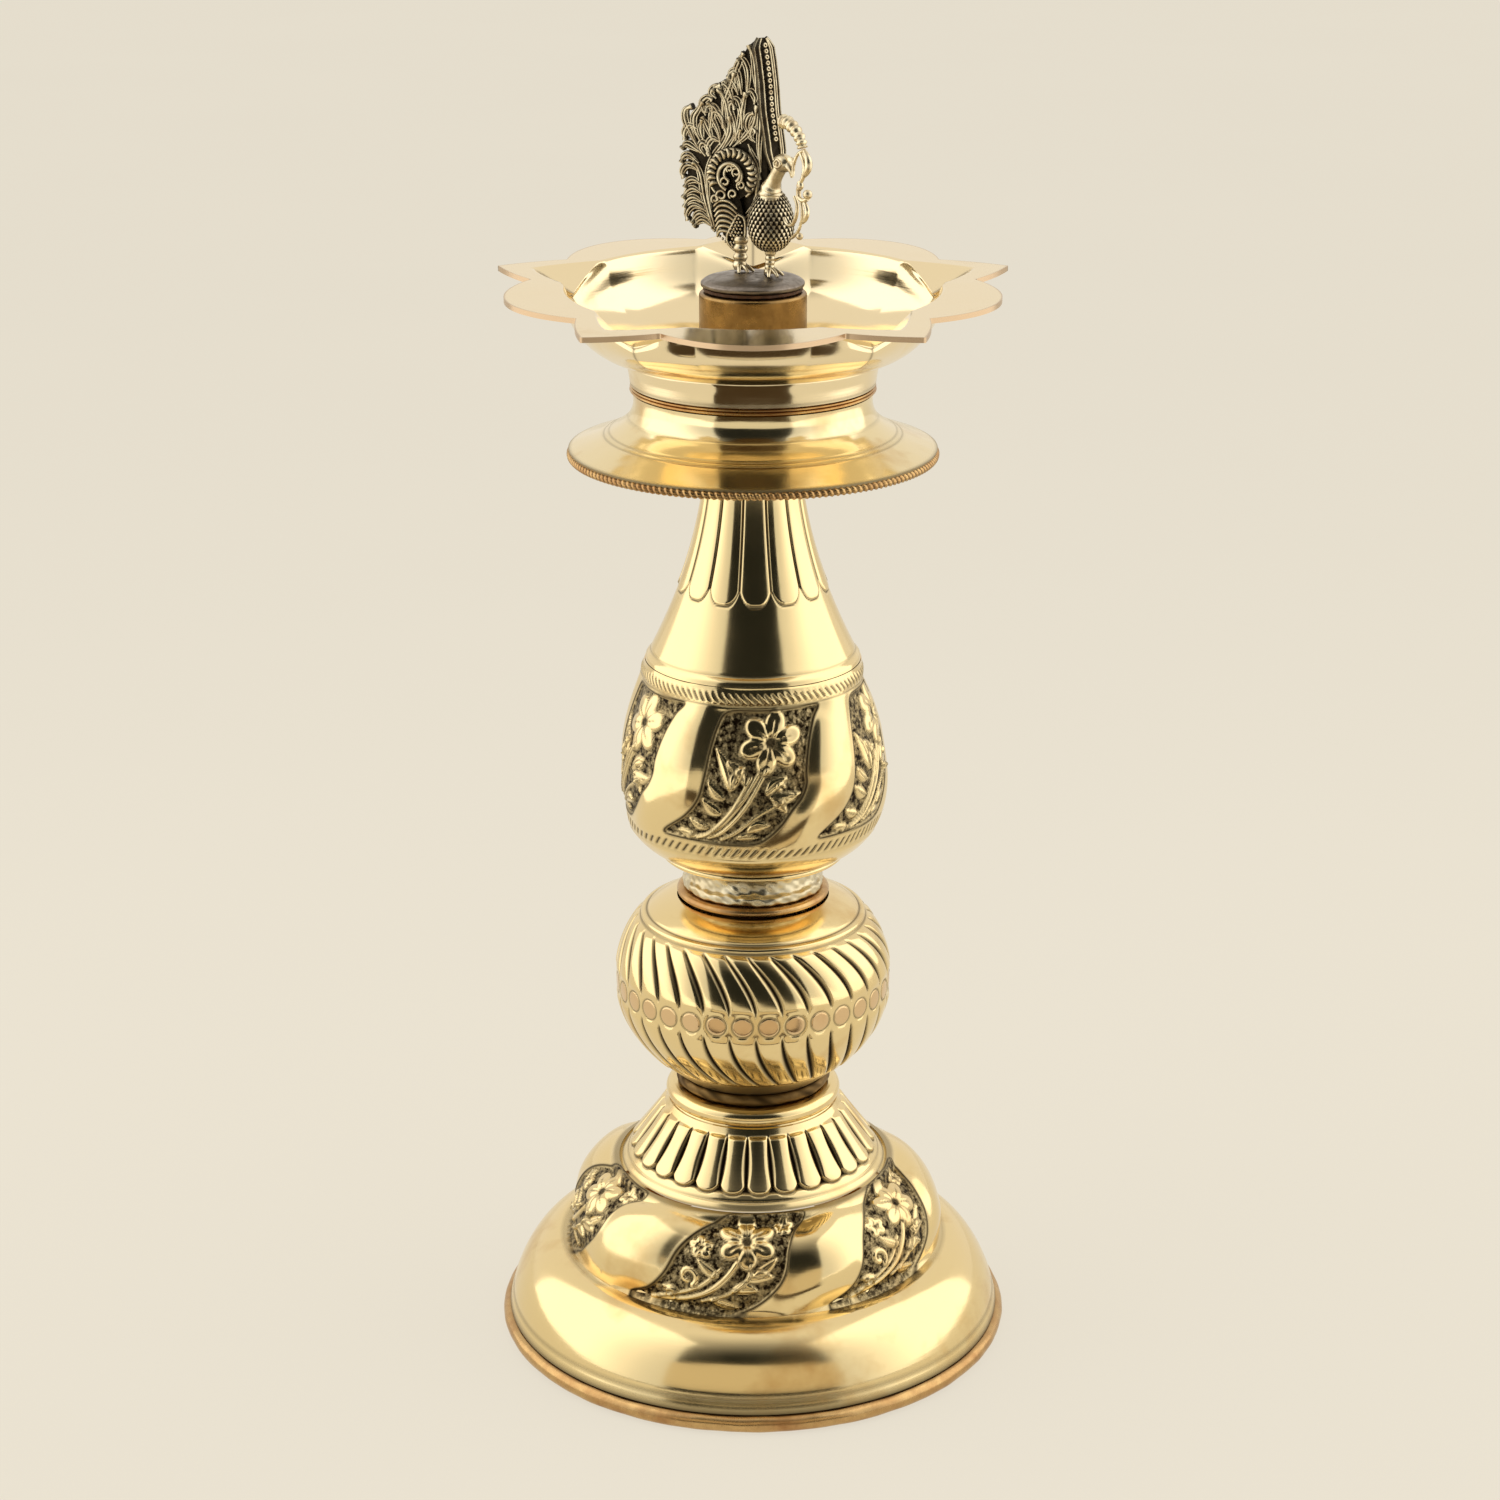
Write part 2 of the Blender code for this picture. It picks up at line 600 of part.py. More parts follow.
def oil_bowl():
    """Shallow bowl on its own foot band, with a flat star-cut rim and pressed spouts."""
    inside = bezier((BAND_RADIUS - 2.0, Z_BOWL_FLOOR), (BAND_RADIUS + 7.0, Z_BOWL_FLOOR + 1.0),
                    (BOWL_RADIUS - 2.2, Z_RIM - 11.0), (BOWL_RADIUS - 1.2, Z_RIM - 7.0), 3)
    outside = [(r + BOWL_WALL * 0.9, z - BOWL_WALL * 0.45) for r, z in reversed(inside)]
    outside[-1] = (BAND_RADIUS, Z_BAND_TOP)
    flange = [BOWL_RADIUS, BOWL_RADIUS + BOWL_WALL, BOWL_RADIUS + SPOUT_LENGTH, RIM_TIP_RADIUS]
    section = [(0.0, Z_BOWL_FLOOR)] + inside
    section += [(radius, Z_RIM) for radius in flange]
    section += [(radius, Z_RIM - BOWL_WALL) for radius in reversed(flange[1:])]
    section += outside
    section += [(BAND_RADIUS - 1.3, Z_BAND), (BAND_RADIUS - 2.8, Z_BAND),
                (BAND_RADIUS - 2.0, Z_BOWL_UNDERSIDE), (0.0, Z_BOWL_UNDERSIDE)]
    item = turned("oil_bowl", section, STEPS_BOWL, BRASS, closed=False)
    return finish(shape_rim(as_mesh(item, PARTS)), BRASS)


def bowl_boss():
    """Plain turned boss in the middle of the bowl, bored for the finial."""
    section = ring_section(BOSS_RADIUS, FINIAL_BORE, Z_BOSS, Z_BOSS_TOP)
    return turned("bowl_boss", section, STEPS_MEDIUM, BRASS)


# Finial

def finial_washer():
    """Leather washer that keeps oil out of the boss's thread."""
    section = ring_section(DISC_RADIUS - 0.5, FINIAL_BORE + SEAM_GAP, Z_FINIAL_WASHER,
                           Z_FINIAL_WASHER + FINIAL_WASHER_THICKNESS, 0.1)
    return turned("finial_washer", section, STEPS_SMALL, LEATHER)


def finial_disc():
    """Domed disc that the bird stands on."""
    dome = arc((0.0, Z_DISC + 0.8), (DISC_RADIUS, DISC_HEIGHT - 0.8), 90, 0, 5)
    section = dome + [(DISC_RADIUS, Z_DISC), (0.0, Z_DISC)]
    return turned("finial_disc", section, STEPS_MEDIUM, GREY_BRASS, closed=False)


def bird_frame():
    """Forward and sideways directions of the bird, and where its tail stands."""
    heading = math.radians(HEADING_DEG)
    forward = Vector((math.cos(heading), -math.sin(heading), 0.0))
    right = Vector((-math.sin(heading), -math.cos(heading), 0.0))
    return forward, right


def standing_plane(origin, along, height):
    """Matrix of a plate that stands upright, its X along a level direction."""
    along = along.normalized()
    face = along.cross(Vector((0.0, 0.0, 1.0)))
    turn = Matrix((along, Vector((0.0, 0.0, 1.0)), face)).transposed().to_4x4()
    place = Vector((origin[0], origin[1], height)) * MM
    return Matrix.Translation(place) @ turn


def peacock_body():
    """Egg-shaped body with its neck, head and beak."""
    x, y = BODY_CENTRE
    middle = Z_PERCH + BODY_LIFT + BODY_HEIGHT / 2
    bpy.ops.mesh.primitive_uv_sphere_add(segments=16, ring_count=10, radius=1.0,
                                         location=(x * MM, y * MM, middle * MM))
    body = take_in(bpy.context.object, "peacock_body", PARTS)
    size = Vector((BODY_RADIUS, BODY_RADIUS, BODY_HEIGHT / 2)) * MM
    body.data.transform(Matrix.Diagonal((*size, 1.0)))
    top = middle + BODY_HEIGHT / 2
    neck = tube("neck_guide", [(x, y, top - 4.0, 3.2), (x + 0.2, y - 0.2, top, 2.3),
                               (x + 0.7, y - 0.7, top + 3.0, 1.7),
                               (x + 1.3, y - 1.3, top + 5.6, 1.6)], GUIDES)
    bpy.ops.mesh.primitive_uv_sphere_add(segments=12, ring_count=8, radius=2.1 * MM,
                                         location=((x + 1.7) * MM, (y - 1.7) * MM,
                                                   (top + 6.3) * MM))
    head = take_in(bpy.context.object, "head_guide", GUIDES)
    beak = tube("beak_guide", [(x + 2.2, y - 2.1, top + 6.3, 1.3),
                               (x + 3.6, y - 2.8, top + 5.4, 1.0),
                               (x + 4.6, y - 3.3, top + 3.7, 0.4)], GUIDES)
    for piece in (neck, head, beak):
        join_solid(body, piece)
    return finish(body, DARK_BRASS)


def peacock_leg(name, foot, top):
    """Leg with its spread claw, from the disc to the body."""
    x, y = foot
    route = [(x, y, Z_PERCH, 2.0), (x, y, Z_PERCH + 0.8, 1.7), (x, y, Z_PERCH + 1.6, 0.9),
             (x, y, top, 0.9)]
    return finish(tube(name, route, PARTS), DARK_BRASS)


def tail_outline():
    """Outline of one half of the raised tail: (distance back, height above the disc)."""
    reach = TAIL_REACH
    near = (TAIL_THICKNESS / 2 + SEAM_GAP) / math.tan(math.radians(TAIL_HALF_ANGLE_DEG))
    return [(near, 19.0), (6.0, 8.5), (9.0, 8.0), (reach * 0.62, 12.0), (reach, 17.5),
            (reach, 26.0), (reach, 34.0), (reach * 0.88, 41.5), (reach * 0.5, 47.5),
            (reach * 0.28, 53.8), (near + 0.3, 56.8), (near, 50.0)]


def tail_half(name, side):
    """One filigree half of the tail, standing back and out from the middle leaf."""
    forward, right = bird_frame()
    spread = math.radians(TAIL_HALF_ANGLE_DEG)
    along = -forward * math.cos(spread) + right * side * math.sin(spread)
    place = standing_plane(TAIL_ROOT, along, Z_PERCH)
    return finish(plate(name, tail_outline(), TAIL_THICKNESS, place), DARK_BRASS)


def peacock_wing(name, side):
    """Spiral wing with its lower feathers, lying on the outside of a tail half."""
    forward, right = bird_frame()
    spread = math.radians(TAIL_HALF_ANGLE_DEG)
    along = -forward * math.cos(spread) + right * side * math.sin(spread)
    outward = forward * math.sin(spread) + right * side * math.cos(spread)
    offset = TAIL_THICKNESS / 2 + SEAM_GAP + WING_THICKNESS / 2
    root = (TAIL_ROOT[0] + outward.x * offset, TAIL_ROOT[1] + outward.y * offset)
    place = standing_plane(root, along, Z_PERCH)
    scroll = arc((8.6, 25.2), (WING_RADIUS, WING_RADIUS), -20, 200, 9)
    lower = [(3.6, 17.5), (5.4, WING_FOOT + 0.6), (7.6, WING_FOOT), (10.4, 10.6), (14.2, 17.0)]
    return finish(plate(name, scroll + lower, WING_THICKNESS, place), DARK_BRASS)


def tail_spine():
    """Ribbed middle leaf of the tail."""
    forward, right = bird_frame()
    root = (TAIL_ROOT[0] + forward.x * 1.9, TAIL_ROOT[1] + forward.y * 1.9)
    place = standing_plane(root, right, Z_PERCH)
    half = [(0.7, 31.5), (1.9, 35.0), (3.2, 41.0), (3.4, 46.0), (2.8, 53.0), (1.2, 57.1)]
    outline = half + [(-x, z) for x, z in reversed(half)]
    return finish(plate("tail_spine", outline, 1.6, place), DARK_BRASS)


def peacock_crest():
    """Curled roll that hangs forward from the tail over the head."""
    route = [(6.9, 1.0, 36.0, 0.6), (8.0, -1.0, 35.6, 1.2), (9.4, -2.6, 33.9, 1.5),
             (10.6, -3.6, 31.6, 1.3), (11.4, -4.2, 29.7, 0.8)]
    raised = [(x, y, Z_PERCH + z, radius) for x, y, z, radius in route]
    return finish(tube("peacock_crest", raised, PARTS), DARK_BRASS)


def beak_vine():
    """Scroll of leaves from above the beak down to the breast."""
    route = [(11.7, -5.0, 28.3, 0.6), (12.6, -5.5, 26.4, 1.0), (12.3, -5.6, 23.8, 0.9),
             (11.0, -5.8, 21.6, 0.7), (11.2, -5.8, 19.6, 0.8), (12.8, -5.8, 17.6, 1.2),
             (12.6, -5.6, 14.5, 0.9), (11.8, -5.2, 11.5, 0.8), (10.4, -4.8, 8.4, 1.0)]
    raised = [(x, y, Z_PERCH + z, radius) for x, y, z, radius in route]
    return finish(tube("beak_vine", raised, PARTS), DARK_BRASS)


PARTS, GUIDES = start_scene()
BRASS = metal("polished_brass", (0.80, 0.62, 0.30), 0.18)
PALE_BRASS = metal("pale_brass", (0.78, 0.70, 0.52), 0.35)
DULL_BRASS = metal("raw_brass", (0.62, 0.46, 0.22), 0.40)
DARK_BRASS = metal("antique_brass", (0.20, 0.15, 0.09), 0.35)
GREY_BRASS = metal("tarnished_brass", (0.42, 0.38, 0.34), 0.40)
COPPER_BRASS = metal("coppery_brass", (0.62, 0.36, 0.20), 0.35)
THREADED_BRASS = metal("threaded_brass", (0.66, 0.52, 0.28), 0.35)
LEATHER = leather("washer_leather", (0.18, 0.10, 0.05))

foot_ring()
base_shell()
base_cone()
base_collar()
base_bush()
neck_ring()

knop_hub()
stud("knop_stud", STUD_RADIUS, Z_COLLAR_TOP - STUD_REACH, Z_KNOP + STUD_HOLD)
knop_lower_shell()
knop_upper_shell()
knop_cap()
knop_bush()
seat_collar()

shaft_foot()
stud("shaft_stud", STUD_RADIUS, Z_CAP_TOP - STUD_REACH, Z_SHAFT + STUD_HOLD)
shaft_belly()
shaft_neck()
shaft_bush()
bowl_washer()

bowl_hub()
stud("bowl_stud", BOWL_STUD_RADIUS, Z_NECK_TOP - STUD_REACH, Z_HUB + STUD_HOLD)
drip_skirt()
skirt_bead()
seam_ring()
oil_bowl()
bowl_boss()
finial_washer()

stud("finial_stud", FINIAL_STUD_RADIUS, Z_BOSS_TOP - STUD_REACH, Z_DISC - SEAM_GAP)
finial_disc()
peacock_body()
peacock_leg("peacock_leg_left", (4.0, -3.2), Z_PERCH + BODY_LIFT - 0.4)
peacock_leg("peacock_leg_right", (-3.3, 2.6), Z_PERCH + WING_FOOT - 0.4)
tail_half("tail_fan_right", 1.0)
tail_half("tail_fan_left", -1.0)
peacock_wing("peacock_wing_right", 1.0)
peacock_wing("peacock_wing_left", -1.0)
tail_spine()
peacock_crest()
beak_vine()
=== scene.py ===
"""Brass standing oil lamp (samai) with a cast peacock finial.

The lamp is built up as it is in the workshop: shells are spun on the lathe, chased with
flutes, hatching and flower panels, and stacked over screwed studs; the bird is cast and
chased by hand. All sizes are in millimetres unless a name says otherwise.
"""

import json
import logging
import math
from collections.abc import Callable, Iterable, Sequence
from dataclasses import dataclass, field
from enum import Enum
from functools import partial
from typing import NamedTuple

import bpy
import numpy as np
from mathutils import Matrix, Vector

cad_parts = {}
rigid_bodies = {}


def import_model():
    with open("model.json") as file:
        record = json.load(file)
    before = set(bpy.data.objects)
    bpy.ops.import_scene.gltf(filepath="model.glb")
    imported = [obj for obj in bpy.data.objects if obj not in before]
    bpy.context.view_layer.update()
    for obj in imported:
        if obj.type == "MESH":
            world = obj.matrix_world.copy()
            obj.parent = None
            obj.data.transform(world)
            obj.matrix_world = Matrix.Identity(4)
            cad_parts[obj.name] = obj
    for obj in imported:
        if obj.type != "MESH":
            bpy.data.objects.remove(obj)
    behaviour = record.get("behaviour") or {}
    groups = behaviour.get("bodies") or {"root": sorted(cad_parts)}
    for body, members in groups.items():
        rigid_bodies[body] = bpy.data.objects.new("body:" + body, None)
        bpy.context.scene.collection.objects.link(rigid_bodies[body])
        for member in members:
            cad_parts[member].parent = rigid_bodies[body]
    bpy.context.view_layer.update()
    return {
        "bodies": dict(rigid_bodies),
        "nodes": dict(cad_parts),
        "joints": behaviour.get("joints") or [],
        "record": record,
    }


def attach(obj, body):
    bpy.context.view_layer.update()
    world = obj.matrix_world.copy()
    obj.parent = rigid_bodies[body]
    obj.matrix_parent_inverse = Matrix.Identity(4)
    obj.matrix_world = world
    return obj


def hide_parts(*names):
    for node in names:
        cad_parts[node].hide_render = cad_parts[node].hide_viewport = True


LOG = logging.getLogger("samai")

MM = 0.001
MERGE_DISTANCE = 0.00002
# Marks for the material at each corner point: patina (on some cast pieces also painted shade),
# matting and blush.
WEAR_AND_SHADE = "wear"
WEAR_AND_SHADE_PARTS = ("patina_and_shade", "matting", "blush")

Array = np.ndarray
Point = tuple[float, float]
Marks = dict[str, Array]
Piece = bpy.types.Object
Socket = bpy.types.NodeSocket
NodeAdder = Callable[..., bpy.types.Node]


class Spots(NamedTuple):
    """Where the corner points of a spun piece lie."""

    azimuth: Array      # angle from the front, to the right, in radians
    path: Array         # distance along the outline
    radius: Array       # the outline's radius there


Relief = Callable[[Spots], Marks]


# Outlines

def bezier(start: Point, lean_out: Point, lean_in: Point, end: Point, count: int) -> Array:
    """Points along a smooth stretch of outline.

    Args:
        start: First point, as (radius, height).
        lean_out: Point that the outline leaves the start towards.
        lean_in: Point that the outline comes to the end from.
        end: Last point.
        count: Number of steps.

    Returns:
        An array of count + 1 points.
    """
    t = np.linspace(0.0, 1.0, count + 1)[:, None]
    corners = [np.array(point, float) for point in (start, lean_out, lean_in, end)]
    return ((1 - t) ** 3 * corners[0] + 3 * t * (1 - t) ** 2 * corners[1]
            + 3 * t * t * (1 - t) * corners[2] + t ** 3 * corners[3])


def arc(centre: Point, radii: Point, start_deg: float, end_deg: float, count: int) -> Array:
    """Points of an elliptical arc.

    Args:
        centre: Centre, as (radius, height).
        radii: Half widths of the ellipse.
        start_deg: Angle of the first point.
        end_deg: Angle of the last point.
        count: Number of steps.

    Returns:
        An array of count + 1 points.
    """
    angle = np.radians(np.linspace(start_deg, end_deg, count + 1))
    return np.stack([centre[0] + radii[0] * np.cos(angle),
                     centre[1] + radii[1] * np.sin(angle)], axis=1)


def around(centre: Sequence[float], radius: float | Array, angle: Array) -> Array:
    """Points at given angles round a centre.

    Args:
        centre: The centre.
        radius: Distance from it, one for all points or one for each.
        angle: Angles in radians.

    Returns:
        The points.
    """
    return np.stack([centre[0] + radius * np.cos(angle), centre[1] + radius * np.sin(angle)],
                    axis=1)


def lengths(line: Array) -> Array:
    """Distance of each point from the start, along the line."""
    steps = np.linalg.norm(np.diff(line, axis=0), axis=1)
    return np.concatenate([[0.0], np.cumsum(steps)])


def resample(line: Array, spacing: float) -> Array:
    """The same line with points an even distance apart.

    Args:
        line: Points of the line, in two or three dimensions.
        spacing: Wanted distance between two points.

    Returns:
        The evenly spaced points, with the line's own ends.
    """
    along = lengths(line)
    count = max(2, int(round(along[-1] / spacing)) + 1)
    even = np.linspace(0.0, along[-1], count)
    return np.stack([np.interp(even, along, line[:, k]) for k in range(line.shape[1])], axis=1)


def smooth_line(points: Sequence[Sequence[float]], count: int, closed: bool = False) -> Array:
    """A smooth line through points (Catmull-Rom).

    Args:
        points: Points to pass through, in two or three dimensions.
        count: Steps between two neighbouring points.
        closed: True for a loop.

    Returns:
        The points of the smooth line.
    """
    knots = np.array(points, float)
    if closed:
        padded = np.vstack([knots[-1:], knots, knots[:2]])
        spans = len(knots)
    else:
        padded = np.vstack([2 * knots[0] - knots[1], knots, 2 * knots[-1] - knots[-2]])
        spans = len(knots) - 1
    t = (np.arange(count) / count)[:, None]
    pieces = []
    for k in range(spans):
        a, b, c, d = padded[k:k + 4]
        pieces.append(0.5 * (2 * b + (c - a) * t + (2 * a - 5 * b + 4 * c - d) * t ** 2
                             + (3 * b - a - 3 * c + d) * t ** 3))
    line = np.vstack(pieces)
    return line if closed else np.vstack([line, knots[-1:]])


def inner_side(outer: Array, wall: float, spacing: float = 3.0) -> Array:
    """The same outline moved in by a wall, coarser, running back to its start.

    Args:
        outer: Outline that runs upwards along the outer side.
        wall: Wall thickness.
        spacing: Distance between points of the hidden side.

    Returns:
        Points of the inner side, from its end to its start.
    """
    along = np.gradient(outer, axis=0)
    along /= np.linalg.norm(along, axis=1)[:, None]
    moved = outer + np.stack([-along[:, 1], along[:, 0]], axis=1) * wall
    return resample(moved, spacing)[::-1]


def unit(value: Array) -> Array:
    """The values held between 0 and 1."""
    return np.clip(value, 0.0, 1.0)


def step_up(value: Array, low: float, high: float) -> Array:
    """Smooth rise from 0 at low to 1 at high."""
    t = unit((value - low) / (high - low))
    return t * t * (3.0 - 2.0 * t)


def ridge(value: Array, width: float) -> Array:
    """A rounded ridge of height 1 at value 0, with the given half width."""
    return np.exp(-(value / width) ** 2)


# Meshes

def clear_selection() -> None:
    """Leave edit mode and select nothing."""
    if bpy.context.object is not None and bpy.context.object.mode != "OBJECT":
        bpy.ops.object.mode_set(mode="OBJECT")
    bpy.ops.object.select_all(action="DESELECT")


def select_only(item: Piece) -> None:
    """Make one object the selected and active one.

    Args:
        item: The object.
    """
    clear_selection()
    item.select_set(True)
    bpy.context.view_layer.objects.active = item


def corners_of(item: Piece) -> Array:
    """The mesh's corner points.

    Args:
        item: The piece.

    Returns:
        One row for each point, in millimetres.
    """
    flat = np.empty(len(item.data.vertices) * 3)
    item.data.vertices.foreach_get("co", flat)
    return flat.reshape(-1, 3) / MM


def move_corners(item: Piece, corners: Array) -> None:
    """Put the mesh's corner points at new places in millimetres."""
    item.data.vertices.foreach_set("co", (corners * MM).ravel())
    item.data.update()


def mark(item: Piece, name: str, values: Array) -> None:
    """Store one kind of mark for each corner point, for the material to read; the patina channel
    also carries painted shade.

    Args:
        item: The piece.
        name: One of WEAR_AND_SHADE_PARTS.
        values: How strong it is at each point, 0 to 1.
    """
    layer = item.data.attributes.get(WEAR_AND_SHADE)
    if layer is None:
        layer = item.data.attributes.new(WEAR_AND_SHADE, "FLOAT_VECTOR", "POINT")
    marks = np.zeros(len(item.data.vertices) * 3, np.float32)
    layer.data.foreach_get("vector", marks)
    marks[WEAR_AND_SHADE_PARTS.index(name)::3] = unit(values)
    layer.data.foreach_set("vector", marks)


def close_mesh(item: Piece, sharp_deg: float = 50.0) -> None:
    """Merge doubled points, turn faces outwards and smooth the shading.

    Args:
        item: The piece.
        sharp_deg: Angle from which an edge stays sharp.
    """
    select_only(item)
    bpy.ops.object.mode_set(mode="EDIT")
    bpy.ops.mesh.select_all(action="SELECT")
    bpy.ops.mesh.remove_doubles(threshold=MERGE_DISTANCE)
    bpy.ops.mesh.normals_make_consistent(inside=False)
    bpy.ops.object.mode_set(mode="OBJECT")
    bpy.ops.object.shade_smooth_by_angle(angle=math.radians(sharp_deg))


def spin_section(name: str, section: Array, steps: int) -> Piece:
    """Roll a closed wall section about the lamp's axis, as if turned on the lathe.

    Args:
        name: Name of the piece.
        section: Closed section, as (radius, height) points.
        steps: Number of steps in the full turn.

    Returns:
        The closed, smooth-shaded piece.
    """
    clear_selection()
    bpy.ops.mesh.primitive_grid_add(x_subdivisions=steps, y_subdivisions=len(section), size=1.0)
    item = bpy.context.object
    item.name = name
    item.data.name = name
    turn = np.linspace(0.0, math.tau, steps + 1)
    closed = np.vstack([section, section[:1]])
    corners = np.empty((len(closed), steps + 1, 3))
    corners[:, :, 0] = closed[:, :1] * np.sin(turn)
    corners[:, :, 1] = -closed[:, :1] * np.cos(turn)
    corners[:, :, 2] = closed[:, 1:]
    move_corners(item, corners.reshape(-1, 3))
    close_mesh(item)
    return item


def chase(item: Piece, outline: Array, wall: float, relief: Relief,
          embossed: bool = False) -> None:
    """Press a relief into the outer side of a spun piece.

    Args:
        item: The spun piece.
        outline: Its outer side, running upwards, as (radius, height) points.
        wall: Wall thickness; points further in than half of it are left alone.
        relief: Gives "height" and any marks for the material at the piece's spots.
        embossed: True for sheet metal, whose inner side follows the relief.
    """
    corners = corners_of(item)
    radius = np.hypot(corners[:, 0], corners[:, 1])
    azimuth = np.arctan2(corners[:, 0], -corners[:, 1])
    along = np.gradient(outline, axis=0)
    along /= np.linalg.norm(along, axis=1)[:, None]
    level = corners[:, 2]
    own_radius = np.interp(level, outline[:, 1], outline[:, 0])
    path = np.interp(level, outline[:, 1], lengths(outline))
    out_r = np.interp(level, outline[:, 1], along[:, 1])
    out_z = -np.interp(level, outline[:, 1], along[:, 0])
    outer = radius > own_radius - wall / 2 / np.maximum(out_r, 0.3)
    marks = relief(Spots(azimuth, path, own_radius))
    height = np.where(outer | embossed, marks.pop("height"), 0.0)
    corners[:, 0] += height * out_r * np.sin(azimuth)
    corners[:, 1] -= height * out_r * np.cos(azimuth)
    corners[:, 2] += height * out_z
    move_corners(item, corners)
    for name, values in marks.items():
        mark(item, name, np.where(outer, values, 0.0))


def spun_shell(name: str, outline: Array, wall: float, steps: int,
               relief: Relief | None = None) -> Piece:
    """A spun sheet-metal shell with a relief on its outer side.

    Args:
        name: Name of the piece.
        outline: Outer side, running upwards, as (radius, height) points.
        wall: Sheet thickness.
        steps: Number of steps in the full turn.
        relief: The chased relief, or None for a plain shell.

    Returns:
        The finished piece.
    """
    item = spin_section(name, np.vstack([outline, inner_side(outline, wall)]), steps)
    if relief is not None:
        chase(item, outline, wall, relief, embossed=True)
    return item


def cast_strokes(name: str, strokes: Iterable[tuple[Array, Array]], sides: int = 2) -> Piece:
    """Many tapering wires, cast as one piece.

    Args:
        name: Name of the piece.
        strokes: For each wire, its points in millimetres and its radius at each point.
        sides: Bevel resolution of the round section.

    Returns:
        The wires as one closed mesh.
    """
    data = bpy.data.curves.new(name, "CURVE")
    data.dimensions = "3D"
    data.bevel_depth = 1.0
    data.bevel_resolution = sides
    data.use_fill_caps = True
    for points, radii in strokes:
        spline = data.splines.new("POLY")
        spline.points.add(len(points) - 1)
        places = np.ones((len(points), 4))
        places[:, :3] = points * MM
        spline.points.foreach_set("co", places.ravel())
        spline.points.foreach_set("radius", np.asarray(radii, np.float32) * MM)
    item = bpy.data.objects.new(name, data)
    bpy.context.scene.collection.objects.link(item)
    select_only(item)
    bpy.ops.object.convert(target="MESH")
    item = bpy.context.object
    bpy.ops.object.shade_smooth()
    return item


def join_into(item: Piece, others: Sequence[Piece]) -> Piece:
    """Join other pieces into one, keeping its name.

    Args:
        item: The piece that stays.
        others: The pieces that go into it.

    Returns:
        The joined piece.
    """
    select_only(item)
    for other in others:
        other.select_set(True)
    bpy.ops.object.join()
    return item


# Chased ornament, drawn flat and then wrapped round a shell

